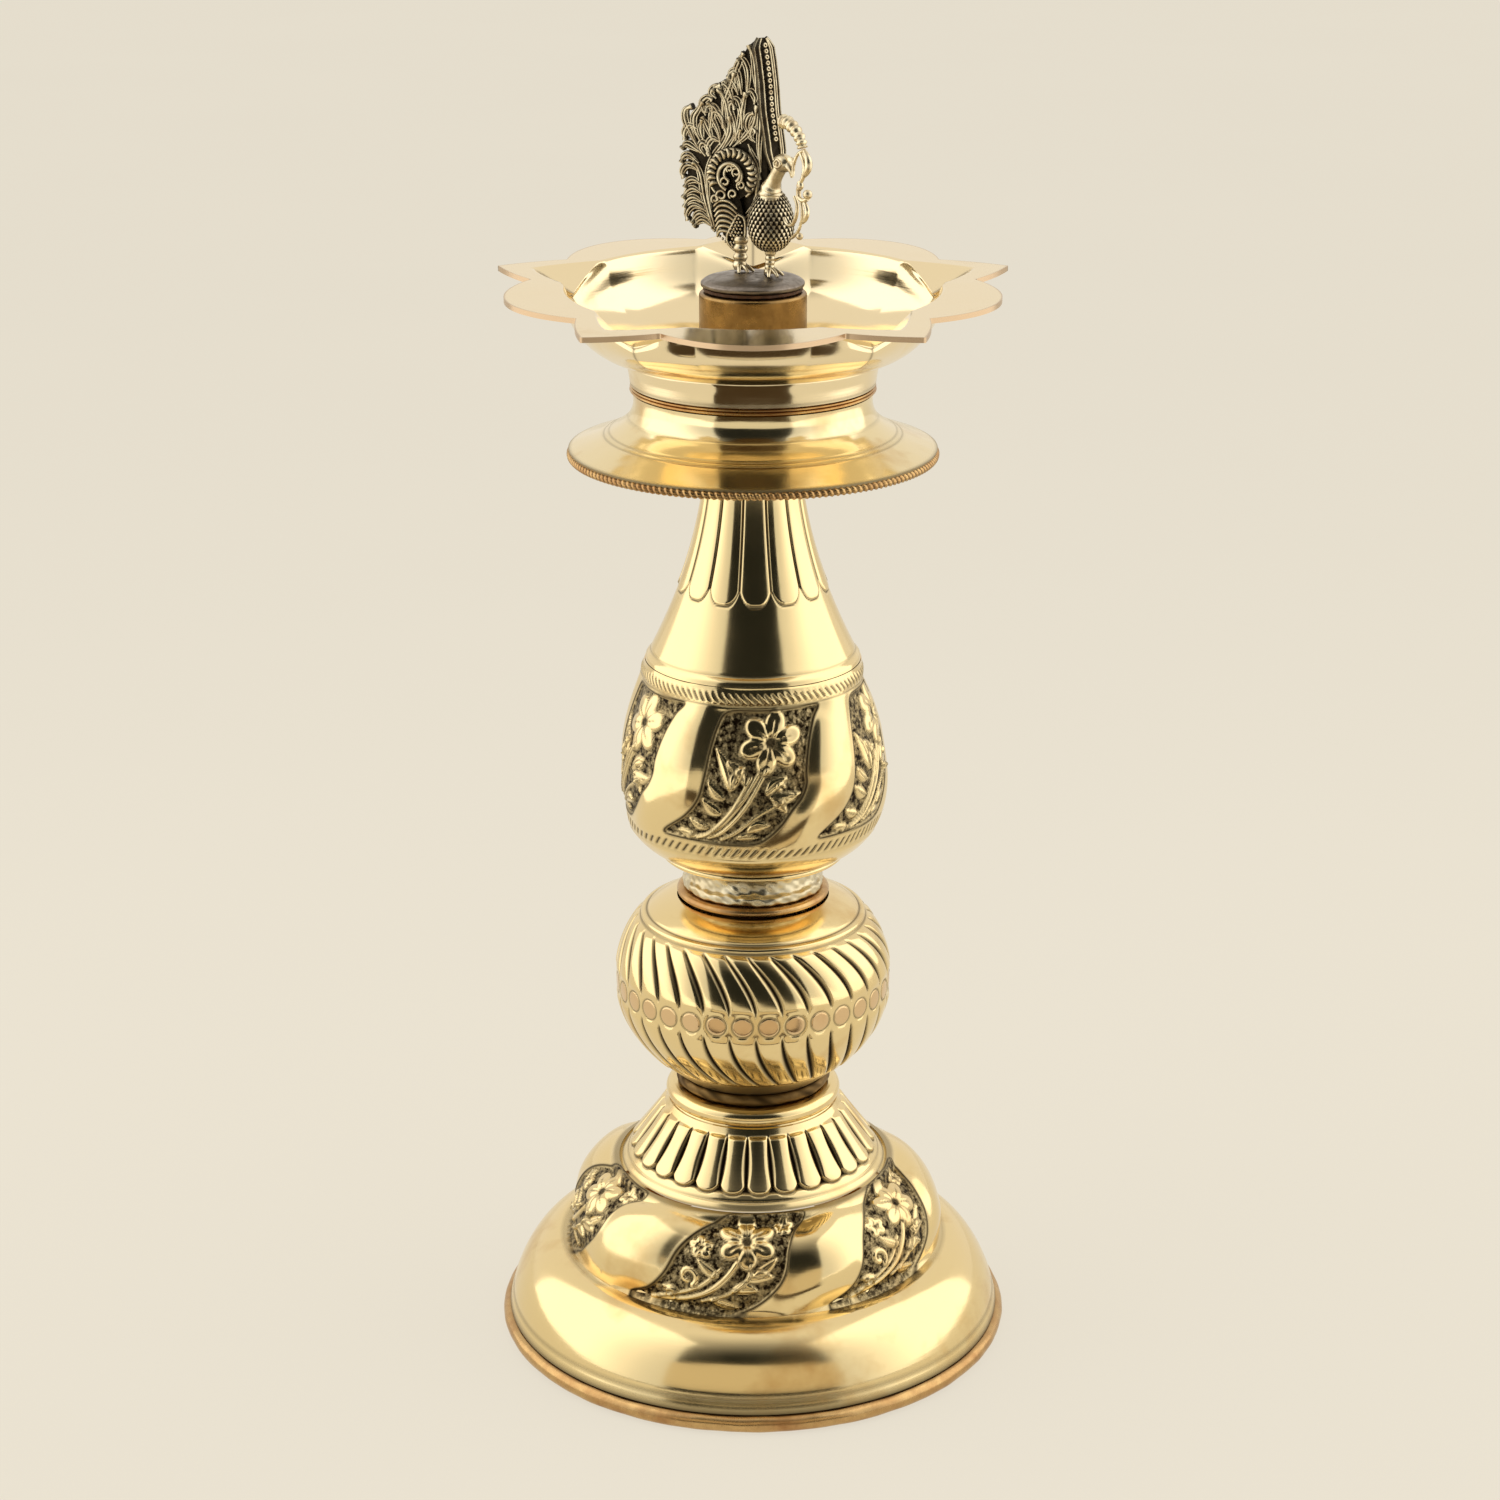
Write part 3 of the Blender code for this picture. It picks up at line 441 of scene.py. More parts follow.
@dataclass
class Canvas:
    """A flat sheet on which one panel is chased: height, matted ground and dark lines."""

    left: float
    right: float
    low: float
    high: float
    grain: float = 0.14
    depth: float = 0.9
    height: Array = field(init=False)
    ground: Array = field(init=False)
    dark: Array = field(init=False)
    u: Array = field(init=False)
    v: Array = field(init=False)

    def __post_init__(self) -> None:
        """Lay out the empty sheet."""
        across = np.arange(self.left, self.right, self.grain)
        up = np.arange(self.low, self.high, self.grain)
        self.u, self.v = np.meshgrid(across, up)
        self.height = np.zeros_like(self.u)
        self.ground = np.zeros_like(self.u)
        self.dark = np.zeros_like(self.u)

    def distance(self, line: Array, closed: bool) -> Array:
        """Distance of each grid point from a line.

        Args:
            line: Points of the line.
            closed: True for a loop.

        Returns:
            The distances, less than zero inside a loop.
        """
        ends = np.roll(line, -1, axis=0) if closed else line[1:]
        starts = line if closed else line[:-1]
        best = np.full(self.u.shape, 1e9)
        inside = np.zeros(self.u.shape, bool)
        for (ax, ay), (bx, by) in zip(starts, ends):
            dx, dy = bx - ax, by - ay
            size = dx * dx + dy * dy + 1e-12
            t = unit(((self.u - ax) * dx + (self.v - ay) * dy) / size)
            best = np.minimum(best, (self.u - ax - t * dx) ** 2 + (self.v - ay - t * dy) ** 2)
            if closed and abs(dy) > 1e-9:
                crossing = (ay > self.v) != (by > self.v)
                inside ^= crossing & (self.u < dx * (self.v - ay) / dy + ax)
        best = np.sqrt(best)
        return np.where(inside, -best, best)

    def sink(self, outline: Sequence[Point], lobe: float, reach: float) -> None:
        """Sink the panel's ground and round off the plain metal beside it.

        Args:
            outline: Corner points of the panel.
            lobe: How far the plain metal falls towards the panel's edge.
            reach: Distance over which it falls.
        """
        gap = self.distance(smooth_line(outline, 6, closed=True), closed=True)
        self.ground = step_up(-gap, 0.0, 0.5)
        self.height = (-self.depth * step_up(-gap, -0.1, 0.7)
                       - lobe * np.exp(-(np.maximum(gap, 0.0) / reach) ** 1.6))
        self.dark = ridge(gap - 0.05, 0.4)

    def lay(self, rise: Array, cover: Array) -> None:
        """Raise a shape out of the ground wherever it covers it."""
        self.height = np.where(cover > 0.0, self.height + np.maximum(rise, 0.0), self.height)
        self.ground = self.ground * (1.0 - unit(cover * 3.0))

    def flower(self, centre: Point, radius: float, petals: int, turn_deg: float,
               rise: float = 1.0) -> None:
        """Chase an open flower.

        Args:
            centre: Its middle.
            radius: Distance from the middle to a petal's tip.
            petals: Number of petals.
            turn_deg: Direction of the first petal.
            rise: Height of a petal.
        """
        du, dv = self.u - centre[0], self.v - centre[1]
        rho = np.hypot(du, dv)
        sector = math.tau / petals
        turned = np.arctan2(dv, du) - math.radians(turn_deg)
        off = turned - sector * np.round(turned / sector)
        x, y = rho * np.cos(off), rho * np.sin(off)
        middle, half_long = 0.57 * radius, 0.45 * radius
        half_wide = 1.02 * middle * math.tan(sector / 2)
        round_off = 1.0 - ((x - middle) / half_long) ** 2 - (y / half_wide) ** 2
        body = np.sqrt(unit(round_off))
        cup = 0.3 * np.exp(-((x - 0.72 * radius) / (0.2 * radius)) ** 2
                            - (y / (0.22 * radius)) ** 2)
        self.lay(rise * (body - cup * body), unit(round_off * 4.0))
        seam = ridge(y, 0.16) * step_up(rho, 0.12 * radius, 0.2 * radius)
        seam = seam * (1.0 - step_up(rho, 0.5 * radius, 0.75 * radius))
        self.height -= 0.35 * seam * (round_off > 0)
        between = ridge(round_off, 0.16) * (x < radius * 1.04)
        shadow = np.maximum(0.8 * seam, 0.85 * between) * (rho < radius * 1.08)
        self.dark = np.maximum(self.dark, shadow)
        knob = unit(1.0 - (rho / (0.17 * radius)) ** 2)
        self.height = self.height + 0.3 * np.sqrt(knob)
        self.dark = np.maximum(self.dark, 0.9 * step_up(knob, 0.0, 0.4))

    def leaf(self, base: Point, tip: Point, half_width: float, bend: float = 0.0,
             rise: float = 0.8) -> None:
        """Chase a pointed leaf with a groove along its middle.

        Args:
            base: Where it grows from.
            tip: Its point.
            half_width: Half of its greatest width.
            bend: How far its middle bows to the left of the way from base to tip.
            rise: Its height.
        """
        way = np.array(tip, float) - np.array(base, float)
        size = float(np.hypot(*way))
        way /= size
        x = ((self.u - base[0]) * way[0] + (self.v - base[1]) * way[1]) / size
        y = -(self.u - base[0]) * way[1] + (self.v - base[1]) * way[0]
        y = y - bend * np.sin(np.pi * unit(x))
        wide = half_width * np.sin(np.pi * unit(x) ** 0.8) ** 0.9
        edge = np.where((x > 0.0) & (x < 1.0), 1.0 - np.abs(y) / np.maximum(wide, 0.05), -1.0)
        body = unit(edge) ** 0.55
        vein = ridge(y, 0.2) * (x > 0.08) * (x < 0.8)
        self.lay(rise * (body - 0.45 * vein * body), unit(edge * 3.0))
        self.dark = np.maximum(self.dark, 0.7 * vein * (edge > 0.15))
        self.dark = np.maximum(self.dark, 0.8 * ridge(edge, 0.14) * (x > 0.0) * (x < 1.0))

    def stem(self, points: Sequence[Point], half_width: float, rise: float = 0.6) -> None:
        """Chase a round stem along a smooth line.

        Args:
            points: Points to pass through.
            half_width: Half of its width.
            rise: Its height.
        """
        gap = self.distance(smooth_line(points, 8), closed=False)
        round_off = 1.0 - (gap / half_width) ** 2
        self.lay(rise * np.sqrt(unit(round_off)), unit(round_off * 2.0))
        self.dark = np.maximum(self.dark, 0.6 * ridge(gap - half_width, 0.2))

    def curl(self, centre: Point, radius: float, start_deg: float, sweep_deg: float,
             half_width: float) -> None:
        """Chase a small scroll.

        Args:
            centre: Its middle.
            radius: Its radius at the outer end.
            start_deg: Direction of the outer end.
            sweep_deg: Angle that it turns through.
            half_width: Half of its width.
        """
        angle = np.radians(start_deg + sweep_deg * np.linspace(0.0, 1.0, 24))
        size = radius * (1.0 - 0.62 * np.linspace(0.0, 1.0, 24))
        gap = self.distance(around(centre, size, angle), closed=False)
        round_off = 1.0 - (gap / half_width) ** 2
        self.lay(0.7 * np.sqrt(unit(round_off)), unit(round_off * 2.0))

    def read(self, u: Array, v: Array) -> Marks:
        """Height and marks at given places on the sheet.

        Args:
            u: Places across the sheet.
            v: Places up the sheet.

        Returns:
            The values, zero outside the sheet.
        """
        x = (u - self.left) / self.grain
        y = (v - self.low) / self.grain
        rows, cols = self.u.shape
        inside = (x >= 0) & (x < cols - 1.001) & (y >= 0) & (y < rows - 1.001)
        x, y = np.clip(x, 0, cols - 1.002), np.clip(y, 0, rows - 1.002)
        i, j = x.astype(int), y.astype(int)
        fx, fy = x - i, y - j
        result = {}
        for name, grid in (("height", self.height), ("matting", self.ground),
                           ("patina_and_shade", self.dark)):
            value = (grid[j, i] * (1 - fx) * (1 - fy) + grid[j, i + 1] * fx * (1 - fy)
                     + grid[j + 1, i] * (1 - fx) * fy + grid[j + 1, i + 1] * fx * fy)
            result[name] = np.where(inside, value, 0.0)
        return result


def wrap_panels(canvas: Canvas, at: Spots, centres_deg: Sequence[float]) -> Marks:
    """Read one panel several times round a shell.

    Args:
        canvas: The panel, drawn flat.
        at: Where the shell's points lie.
        centres_deg: Azimuths of the panels' middles.

    Returns:
        Height and marks for each corner point.
    """
    result = {name: np.zeros_like(at.path) for name in ("height", "matting", "patina_and_shade")}
    for centre in centres_deg:
        off = (at.azimuth - math.radians(centre) + math.pi) % math.tau - math.pi
        for name, value in canvas.read(off * at.radius, at.path).items():
            if name == "height":
                result[name] += value
            else:
                result[name] = np.maximum(result[name], value)
    return result


def hatch(at: Spots, middle: float, half_width: float, count: int, slant: float) -> Array:
    """Short slanting chisel cuts in a band round a shell.

    Args:
        at: Where the shell's points lie.
        middle: Distance along the outline of the band's middle.
        half_width: Half of the band's width.
        count: Cuts in the full turn.
        slant: Turn of a cut over the band, in cut spacings.

    Returns:
        Depth of the cuts, 0 to 1.
    """
    off = (at.path - middle) / half_width
    phase = (at.azimuth / math.tau * count + off * slant / 2 + 0.5) % 1.0 - 0.5
    return ridge(phase, 0.2) * (1.0 - step_up(np.abs(off), 0.55, 1.0))


# Finishes

def linear(hex_colour: str) -> tuple[float, float, float, float]:
    """Turn an sRGB hex colour into the linear colour that a shader takes.

    Args:
        hex_colour: Colour as "#RRGGBB".

    Returns:
        Red, green, blue and full cover.
    """
    values = [int(hex_colour[k:k + 2], 16) / 255 for k in (1, 3, 5)]
    parts = [v / 12.92 if v <= 0.04045 else ((v + 0.055) / 1.055) ** 2.4 for v in values]
    return (parts[0], parts[1], parts[2], 1.0)


def add_node(tree: bpy.types.NodeTree, kind: str, inputs: dict | None = None,
             **settings: str) -> bpy.types.Node:
    """Add a node with its settings and links.

    Args:
        tree: Node tree to add to.
        kind: Node type name, without the "ShaderNode" that it starts with.
        inputs: Input names or numbers, each with a value or another node's output.
        settings: Properties to set.

    Returns:
        The new node.
    """
    node = tree.nodes.new(f"ShaderNode{kind}")
    for name, value in settings.items():
        setattr(node, name, value)
    for key, value in (inputs or {}).items():
        if isinstance(value, Socket):
            tree.links.new(value, node.inputs[key])
        else:
            node.inputs[key].default_value = value
    return node


def empty_material(name: str) -> tuple[bpy.types.Material, NodeAdder]:
    """A new material without nodes.

    Args:
        name: Name of the material.

    Returns:
        The material and what adds a node to it.
    """
    material = bpy.data.materials.new(name)
    material.use_nodes = True
    material.node_tree.nodes.clear()
    return material, partial(add_node, material.node_tree)


@dataclass(frozen=True)
class BrassFinish:
    """Brass worked by hand: spun or cast, polished, with dark patina left in the recesses.

    Clean brass gives a warm yellow mirror; toning makes it amber in soft patches; patina in
    the recesses is nearly black brown and dull, and painted shade on some cast pieces takes
    the same colour.
    """

    name: str
    colour: str = "#EFD8A2"
    toned: str = "#CC9F58"
    # Colour of the patina, also used for painted shade.
    patina_and_shade: str = "#20160C"
    roughness: float = 0.13
    toning: float = 0.45            # share of the surface that has toned
    patch_size: float = 22.0        # width of a toned patch
    ripple: float = 0.10            # height of the hand-worked unevenness
    ripple_size: float = 14.0
    streak: float = 0.010           # depth of the polishing lines
    streak_width: float = 1.1       # real lines are finer; drawn as wide as can show
    punch: float = 0.22             # depth of the matting tool's dots
    punch_size: float = 1.0
    dirt: float = 0.0               # patina spread evenly over the surface
    blush: str = "#D2A184"

    def build(self) -> bpy.types.Material:
        """Make the material.

        Returns:
            The material.
        """
        material, node = empty_material(self.name)
        place = node("TexCoord").outputs["Object"]
        patches = node("TexNoise", {
            "Vector": place, "Scale": 1 / (self.patch_size * MM), "Detail": 4.0,
            "Roughness": 0.6}).outputs["Fac"]
        tone = node("MapRange", {
            "Value": patches, "From Min": 0.72 - 0.35 * self.toning, "From Max": 0.86,
            "To Min": 0.0, "To Max": 0.85}).outputs["Result"]
        base = node("Mix", {
            0: tone, 6: linear(self.colour), 7: linear(self.toned)}, data_type="RGBA").outputs[2]
        marks = node("Attribute", attribute_name=WEAR_AND_SHADE)
        # First channel: patina in the recesses, with painted shade on some cast pieces.
        recess_and_shade, matting, blush = node("SeparateXYZ", {0: marks.outputs["Vector"]}).outputs
        base = node("Mix", {0: blush, 6: base, 7: linear(self.blush)}, data_type="RGBA").outputs[2]
        grime = node("TexNoise", {
            "Vector": place, "Scale": 1 / (self.punch_size * 1.6 * MM), "Detail": 3.0,
            "Roughness": 0.7}).outputs["Fac"]
        dotted = node("MapRange", {
            "Value": grime, "From Min": 0.42, "From Max": 0.68, "To Min": 1.0,
            "To Max": 0.45}).outputs["Result"]
        ground = node("Math", {0: matting, 1: dotted}, operation="MULTIPLY").outputs[0]
        dark = node("Math", {0: recess_and_shade, 1: ground}, operation="MAXIMUM").outputs[0]
        spread = node("MapRange", {
            "Value": grime, "From Min": 0.3, "From Max": 0.75, "To Min": self.dirt,
            "To Max": self.dirt * 0.25}).outputs["Result"]
        dark = node("Math", {0: dark, 1: spread}, operation="MAXIMUM").outputs[0]
        base = node("Mix", {0: dark, 6: base, 7: linear(self.patina_and_shade)}, data_type="RGBA").outputs[2]
        dull = node("MapRange", {
            "Value": dark, "From Min": 0.0, "From Max": 1.0, "To Min": 0.0,
            "To Max": 0.42}).outputs["Result"]
        worn = node("MapRange", {
            "Value": patches, "From Min": 0.3, "From Max": 0.8, "To Min": self.roughness * 0.7,
            "To Max": self.roughness * 1.7}).outputs["Result"]
        rough = node("Math", {0: worn, 1: dull}, operation="ADD")
        shader = node("BsdfPrincipled", {
            "Base Color": base, "Metallic": 1.0, "Roughness": rough.outputs[0],
            "Normal": self.relief(node, place, matting)})
        node("OutputMaterial", {"Surface": shader.outputs["BSDF"]})
        return material

    def relief(self, node: NodeAdder, place: Socket, matting: Socket) -> Socket:
        """Bump of the hand-worked unevenness, the polishing lines and the matting dots.

        Args:
            node: What adds a node to the material.
            place: Object coordinates.
            matting: Where the ground is matted.

        Returns:
            The bumped normal.
        """
        dents = node("TexNoise", {
            "Vector": place, "Scale": 1 / (self.ripple_size * MM), "Detail": 1.0})
        normal = node("Bump", {
            "Strength": 1.0, "Distance": self.ripple * MM, "Height": dents.outputs["Fac"]})
        squeezed = node("Mapping", {
            "Vector": place, "Scale": (40.0, 40.0, 1 / (self.streak_width * MM))})
        lines = node("TexNoise", {
            "Vector": squeezed.outputs["Vector"], "Scale": 1.0, "Detail": 3.0})
        normal = node("Bump", {
            "Strength": 1.0, "Distance": self.streak * MM, "Height": lines.outputs["Fac"],
            "Normal": normal.outputs["Normal"]})
        dots = node("TexVoronoi", {"Vector": place, "Scale": 1 / (self.punch_size * MM)})
        pressed = node("Math", {0: dots.outputs["Distance"], 1: matting}, operation="MULTIPLY")
        normal = node("Bump", {
            "Strength": 1.0, "Distance": self.punch * MM, "Height": pressed.outputs[0],
            "Normal": normal.outputs["Normal"]})
        return normal.outputs["Normal"]


@dataclass(frozen=True)
class LeatherFinish:
    """Vegetable-tanned washer leather soaked with lamp oil: dark, even and slightly shiny."""

    name: str = "oiled_washer_leather"
    colour: str = "#3B2416"
    worn: str = "#6B4428"
    grain: float = 1.4

    def build(self) -> bpy.types.Material:
        """Make the material.

        Returns:
            The material.
        """
        material, node = empty_material(self.name)
        place = node("TexCoord").outputs["Object"]
        cells = node("TexVoronoi", {"Vector": place, "Scale": 1 / (self.grain * MM)})
        colour = node("Mix", {
            0: cells.outputs["Distance"], 6: linear(self.colour), 7: linear(self.worn)},
            data_type="RGBA")
        bump = node("Bump", {
            "Strength": 1.0, "Distance": 0.06 * MM, "Height": cells.outputs["Distance"]})
        shader = node("BsdfPrincipled", {
            "Base Color": colour.outputs[2], "Roughness": 0.55, "Normal": bump.outputs["Normal"]})
        node("OutputMaterial", {"Surface": shader.outputs["BSDF"]})
        return material


class Finish(Enum):
    """The finishes on this lamp."""

    POLISHED = BrassFinish("polished_spun_brass")
    CHASED = BrassFinish("chased_spun_brass", ripple=0.07, toning=0.5)
    BOWL = BrassFinish("pale_spun_bowl_brass", colour="#F4E2BA", toned="#DDBB80",
                       toning=0.3, roughness=0.13, ripple=0.12, streak=0.014)
    SKIRT = BrassFinish("hammered_skirt_brass", colour="#F2E0B2", ripple=0.16, ripple_size=9.0,
                        streak=0.03, streak_width=1.6)
    AMBER = BrassFinish("oiled_boss_brass", colour="#BC9860", toned="#6C4E2C", roughness=0.2,
                        toning=1.1, patch_size=8.0, ripple=0.12, ripple_size=6.0, dirt=0.25)
    PALE = BrassFinish("silvery_filed_brass", colour="#E8DDBE", toned="#B59C66",
                       patina_and_shade="#4A3820", roughness=0.2, ripple=0.3, ripple_size=4.0, dirt=0.2)
    COPPERY = BrassFinish("coppery_rolled_brass", colour="#D9B47A", toned="#A4683C",
                          patina_and_shade="#3A2415", roughness=0.2, toning=1.0, patch_size=9.0,
                          ripple=0.14, ripple_size=6.0, dirt=0.25)
    DARK = BrassFinish("tarnished_ring_brass", colour="#A48552", toned="#5B4329",
                       patina_and_shade="#241810", roughness=0.3, toning=1.1, ripple=0.12,
                       ripple_size=5.0, dirt=0.4)
    ANTIQUE = BrassFinish("antique_cast_brass", colour="#F8EBC8", toned="#A07C48",
                          patina_and_shade="#1C140F", roughness=0.27, toning=0.9, patch_size=2.2,
                          ripple=0.05, ripple_size=2.0, dirt=0.12, punch_size=0.9)
    TARNISHED = BrassFinish("grey_tarnished_brass", colour="#B5ABA0", toned="#6A5A4C",
                            patina_and_shade="#241C1A", roughness=0.24, toning=1.2, patch_size=5.0,
                            ripple=0.1, ripple_size=3.0, dirt=0.45)
    RAW = BrassFinish("turned_raw_brass", colour="#D8B868", toned="#A98444", roughness=0.3,
                      ripple=0.0, streak=0.02, dirt=0.1)
    THREADED = BrassFinish("cut_thread_brass", colour="#DCC07A", toned="#A5854A",
                           roughness=0.25, ripple=0.0, dirt=0.15)
    LEATHER = LeatherFinish()


class Polish:
    """Keeps one material for each finish and puts it on pieces."""

    def __init__(self) -> None:
        """Build every material once."""
        self.made = {finish: finish.value.build() for finish in Finish}

    def dress(self, item: Piece, finish: Finish) -> None:
        """Give an object one finish all over.

        Args:
            item: The object.
            finish: Its finish.
        """
        material = self.made[finish]
        if item.material_slots:
            for slot in item.material_slots:
                slot.material = material
        else:
            item.data.materials.append(material)


@dataclass
class SubAssembly:
    """What every section of the lamp shares: its body, its polish and how it adds a piece."""

    polish: Polish
    frame: dict

    body = "base"

    def add(self, item: Piece, finish: Finish, slot: str, *nodes: str) -> Piece:
        """Dress a piece, fix it to its body and let it stand for CAD nodes.

        Args:
            item: The piece.
            finish: Its finish.
            slot: The record's material slot; not used.
            nodes: CAD nodes that it stands for.

        Returns:
            The piece.
        """
        self.polish.dress(item, finish)
        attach(item, self.body)
        if nodes:
            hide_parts(*nodes)
        LOG.info("%s: %d faces on %s", item.name, len(item.data.polygons), self.body)
        return item

    def keep(self, node: str, finish: Finish) -> None:
        """Keep a CAD node and give it its finish."""
        self.polish.dress(self.frame["nodes"][node], finish)
        LOG.info("%s: kept", node)


# The lamp's sections, from the floor up

@dataclass
class Base(SubAssembly):
    """Foot ring, flared and domed shell with flower panels, fluted cone and collar."""

    steps: int = 860
    wall: float = 1.5
    panels_deg: tuple[float, ...] = (-70.0, -1.0, 63.0, 139.0, 214.0)
    flutes: int = 28
    flute_offset_deg: float = 3.0

    body = "base"

    def build(self) -> None:
        """Build and dress every piece of the base."""
        self.add(self.foot_ring(), Finish.COPPERY, "coppery_brass", "foot_ring")
        self.add(self.shell(), Finish.CHASED, "polished_brass", "base_shell")
        self.add(self.cone(), Finish.CHASED, "polished_brass", "base_cone")
        self.add(self.collar(), Finish.POLISHED, "polished_brass", "base_collar")
        self.keep("base_bush", Finish.RAW)

    def foot_ring(self) -> Piece:
        """Rolled ring, a little uneven from the hammer.

        Returns:
            The ring.
        """
        roll = arc((66.2, 2.3), (2.3, 2.3), -88, 88, 24)
        section = np.vstack([roll, [(62.5, 4.6), (62.5, 0.0)]])
        item = spin_section("rolled_foot_ring", section, 480)

        def uneven(at: Spots) -> Marks:
            """Uneven hammering, darker where the ring meets floor and shell.

            Args:
                at: Where the points lie.

            Returns:
                Height and marks.
            """
            azimuth, path, _ = at
            waves = (np.sin(17 * azimuth + 1.0) + 0.7 * np.sin(29 * azimuth + path)
                     + 0.5 * np.sin(53 * azimuth))
            return {"height": -0.05 + 0.04 * waves,
                    "patina_and_shade": 0.5 * step_up(-path, -1.4, 0.0) + 0.35 * step_up(path, 5.6, 7.0)}

        chase(item, roll, 3.0, uneven)
        return item

    def panel(self) -> Canvas:
        """One slanting flower panel of the dome.

        Returns:
            The chased sheet.
        """
        sheet = Canvas(-45.0, 26.0, 20.0, 62.0, depth=1.0)
        sheet.sink([(14.3, 54.3), (7.0, 55.2), (-0.8, 55.4), (-5.7, 54.4), (-12.4, 49.9),
                    (-19.3, 42.9), (-23.7, 35.6), (-28.6, 30.6), (-35.0, 26.9), (-26.5, 26.4),
                    (-15.6, 26.3), (-4.8, 26.5), (0.8, 28.4), (6.5, 33.2), (9.4, 37.8),
                    (10.3, 44.2), (11.6, 49.1)], lobe=1.5, reach=5.0)
        sheet.stem([(-3.2, 41.0), (-6.0, 37.0), (-11.0, 32.5), (-18.0, 29.3), (-28.0, 27.6)], 0.8)
        sheet.stem([(-7.8, 38.8), (-13.0, 34.0), (-20.0, 30.6), (-26.0, 28.6)], 0.5)
        sheet.stem([(0.5, 40.0), (-1.0, 36.0), (-6.0, 32.0), (-13.0, 29.3)], 0.5)
        for base, tip, half_width, bend in (
                ((-8.2, 36.6), (-14.4, 41.4), 1.5, 0.5), ((-4.8, 33.4), (2.6, 33.2), 1.9, 0.8),
                ((-10.5, 30.2), (-2.2, 28.3), 1.6, -0.6), ((-1.0, 36.4), (6.6, 37.0), 1.9, 0.7),
                ((1.0, 37.5), (7.4, 42.4), 1.5, -0.5), ((-19.5, 31.4), (-24.6, 32.2), 1.3, 0.3)):
            sheet.leaf(base, tip, half_width, bend)
        sheet.curl((-16.9, 36.0), 2.7, -60, 330, 0.75)
        sheet.curl((-22.0, 30.4), 1.7, -30, 330, 0.5)
        sheet.flower((-13.2, 44.4), 3.4, 5, 18.0, 0.9)
        sheet.flower((8.8, 51.4), 2.7, 5, 20.0, 0.8)
        sheet.flower((-0.8, 46.9), 8.0, 6, 92.0, 1.25)
        return sheet

    def shell(self) -> Piece:
        """Flare and dome in one sheet, the dome chased with flower panels.

        Returns:
            The shell.
        """
        flare = bezier((66.6, 4.9), (63.5, 18.0), (57.5, 23.5), (51.8, 24.1), 80)
        dome = bezier((51.0, 24.6), (51.0, 34.0), (46.5, 44.0), (36.2, 46.9), 80)
        outline = np.vstack([resample(flare, 1.1), resample(dome, 0.42)])
        sheet = self.panel()
        start = float(lengths(flare)[-1])
        total = float(lengths(outline)[-1])

        def dome_relief(at: Spots) -> Marks:
            """Flower panels on the swelling dome, grooves at its foot and at the rim.

            Args:
                at: Where the points lie.

            Returns:
                Height and marks.
            """
            path = at.path
            marks = wrap_panels(sheet, at, self.panels_deg)
            marks["height"] *= step_up(path, start, start + 1.6) * (
                1.0 - step_up(path, total - 3.4, total - 0.9))
            marks["height"] += 0.9 * step_up(path, start + 1.0, start + 8.0) * (
                1.0 - step_up(path, start + 20.0, start + 31.0))
            groove = ridge(path - start - 0.4, 0.5)
            rim_groove = ridge(path - 0.3, 0.8)
            marks["height"] -= 0.35 * groove + 0.25 * ridge(path - 3.2, 0.35)
            marks["patina_and_shade"] = np.maximum.reduce([
                marks["patina_and_shade"], 0.55 * groove, 0.9 * rim_groove,
                0.45 * ridge(path - 3.2, 0.35), 0.5 * step_up(path, total - 2.6, total - 1.2)])
            return marks

        return spun_shell("flared_domed_base", outline, self.wall, self.steps, dome_relief)

    def cone(self) -> Piece:
        """Cone with flutes that end in rounded petals.

        Returns:
            The cone.
        """
        outline = resample(bezier((35.4, 47.0), (31.5, 51.5), (25.5, 59.5), (22.6, 64.3), 60), 0.3)

        def flutes(at: Spots) -> Marks:
            """Rounded petals with dark strokes between them.

            Args:
                at: Where the points lie.

            Returns:
                Height and marks.
            """
            azimuth, path, radius = at
            turns = (azimuth - math.radians(self.flute_offset_deg)) / math.tau * self.flutes
            phase = np.abs((turns + 0.5) % 1.0 - 0.5) * 2.0
            pitch = math.tau / self.flutes * radius
            edge = 4.0 + 2.6 * phase ** 3.0
            top = 1.0 - step_up(path, 18.3, 19.8)
            petal = np.sqrt(unit(1.0 - phase ** 2))
            on_petal = step_up(path, edge - 0.1, edge + 0.6)
            thick = 0.24 + 0.5 * np.sin(np.pi * unit((path - 5.5) / 12.5))
            stroke = ridge((1.0 - phase) * pitch / 2, thick) * step_up(path, 5.0, 6.4) * top
            outline_cut = ridge(path - edge, 0.28) * (path < 8.0)
            wedge = (1.0 - on_petal) * step_up(path, 4.1, 5.0)
            band = ridge(path - 2.2, 0.3)
            return {"height": (0.75 * petal * on_petal * top - 0.55 * stroke
                               - 0.3 * outline_cut - 0.35 * wedge - 0.25 * band),
                    "patina_and_shade": np.maximum.reduce([
                        unit(1.3 * stroke), 0.9 * outline_cut, wedge, 0.35 * band,
                        0.6 * ridge(path, 0.5)])}

        return spun_shell("fluted_cone", outline, self.wall, 840, flutes)

    def collar(self) -> Piece:
        """Bright rounded collar.

        Returns:
            The collar.
        """
        swell = np.vstack([[(22.2, 64.5)], arc((20.9, 66.9), (2.4, 2.4), -62, 62, 20),
                           [(21.4, 69.3)]])
        section = np.vstack([resample(swell, 0.3), [(18.6, 69.3), (18.6, 64.5)]])
        return spin_section("collar_ring", section, 320)


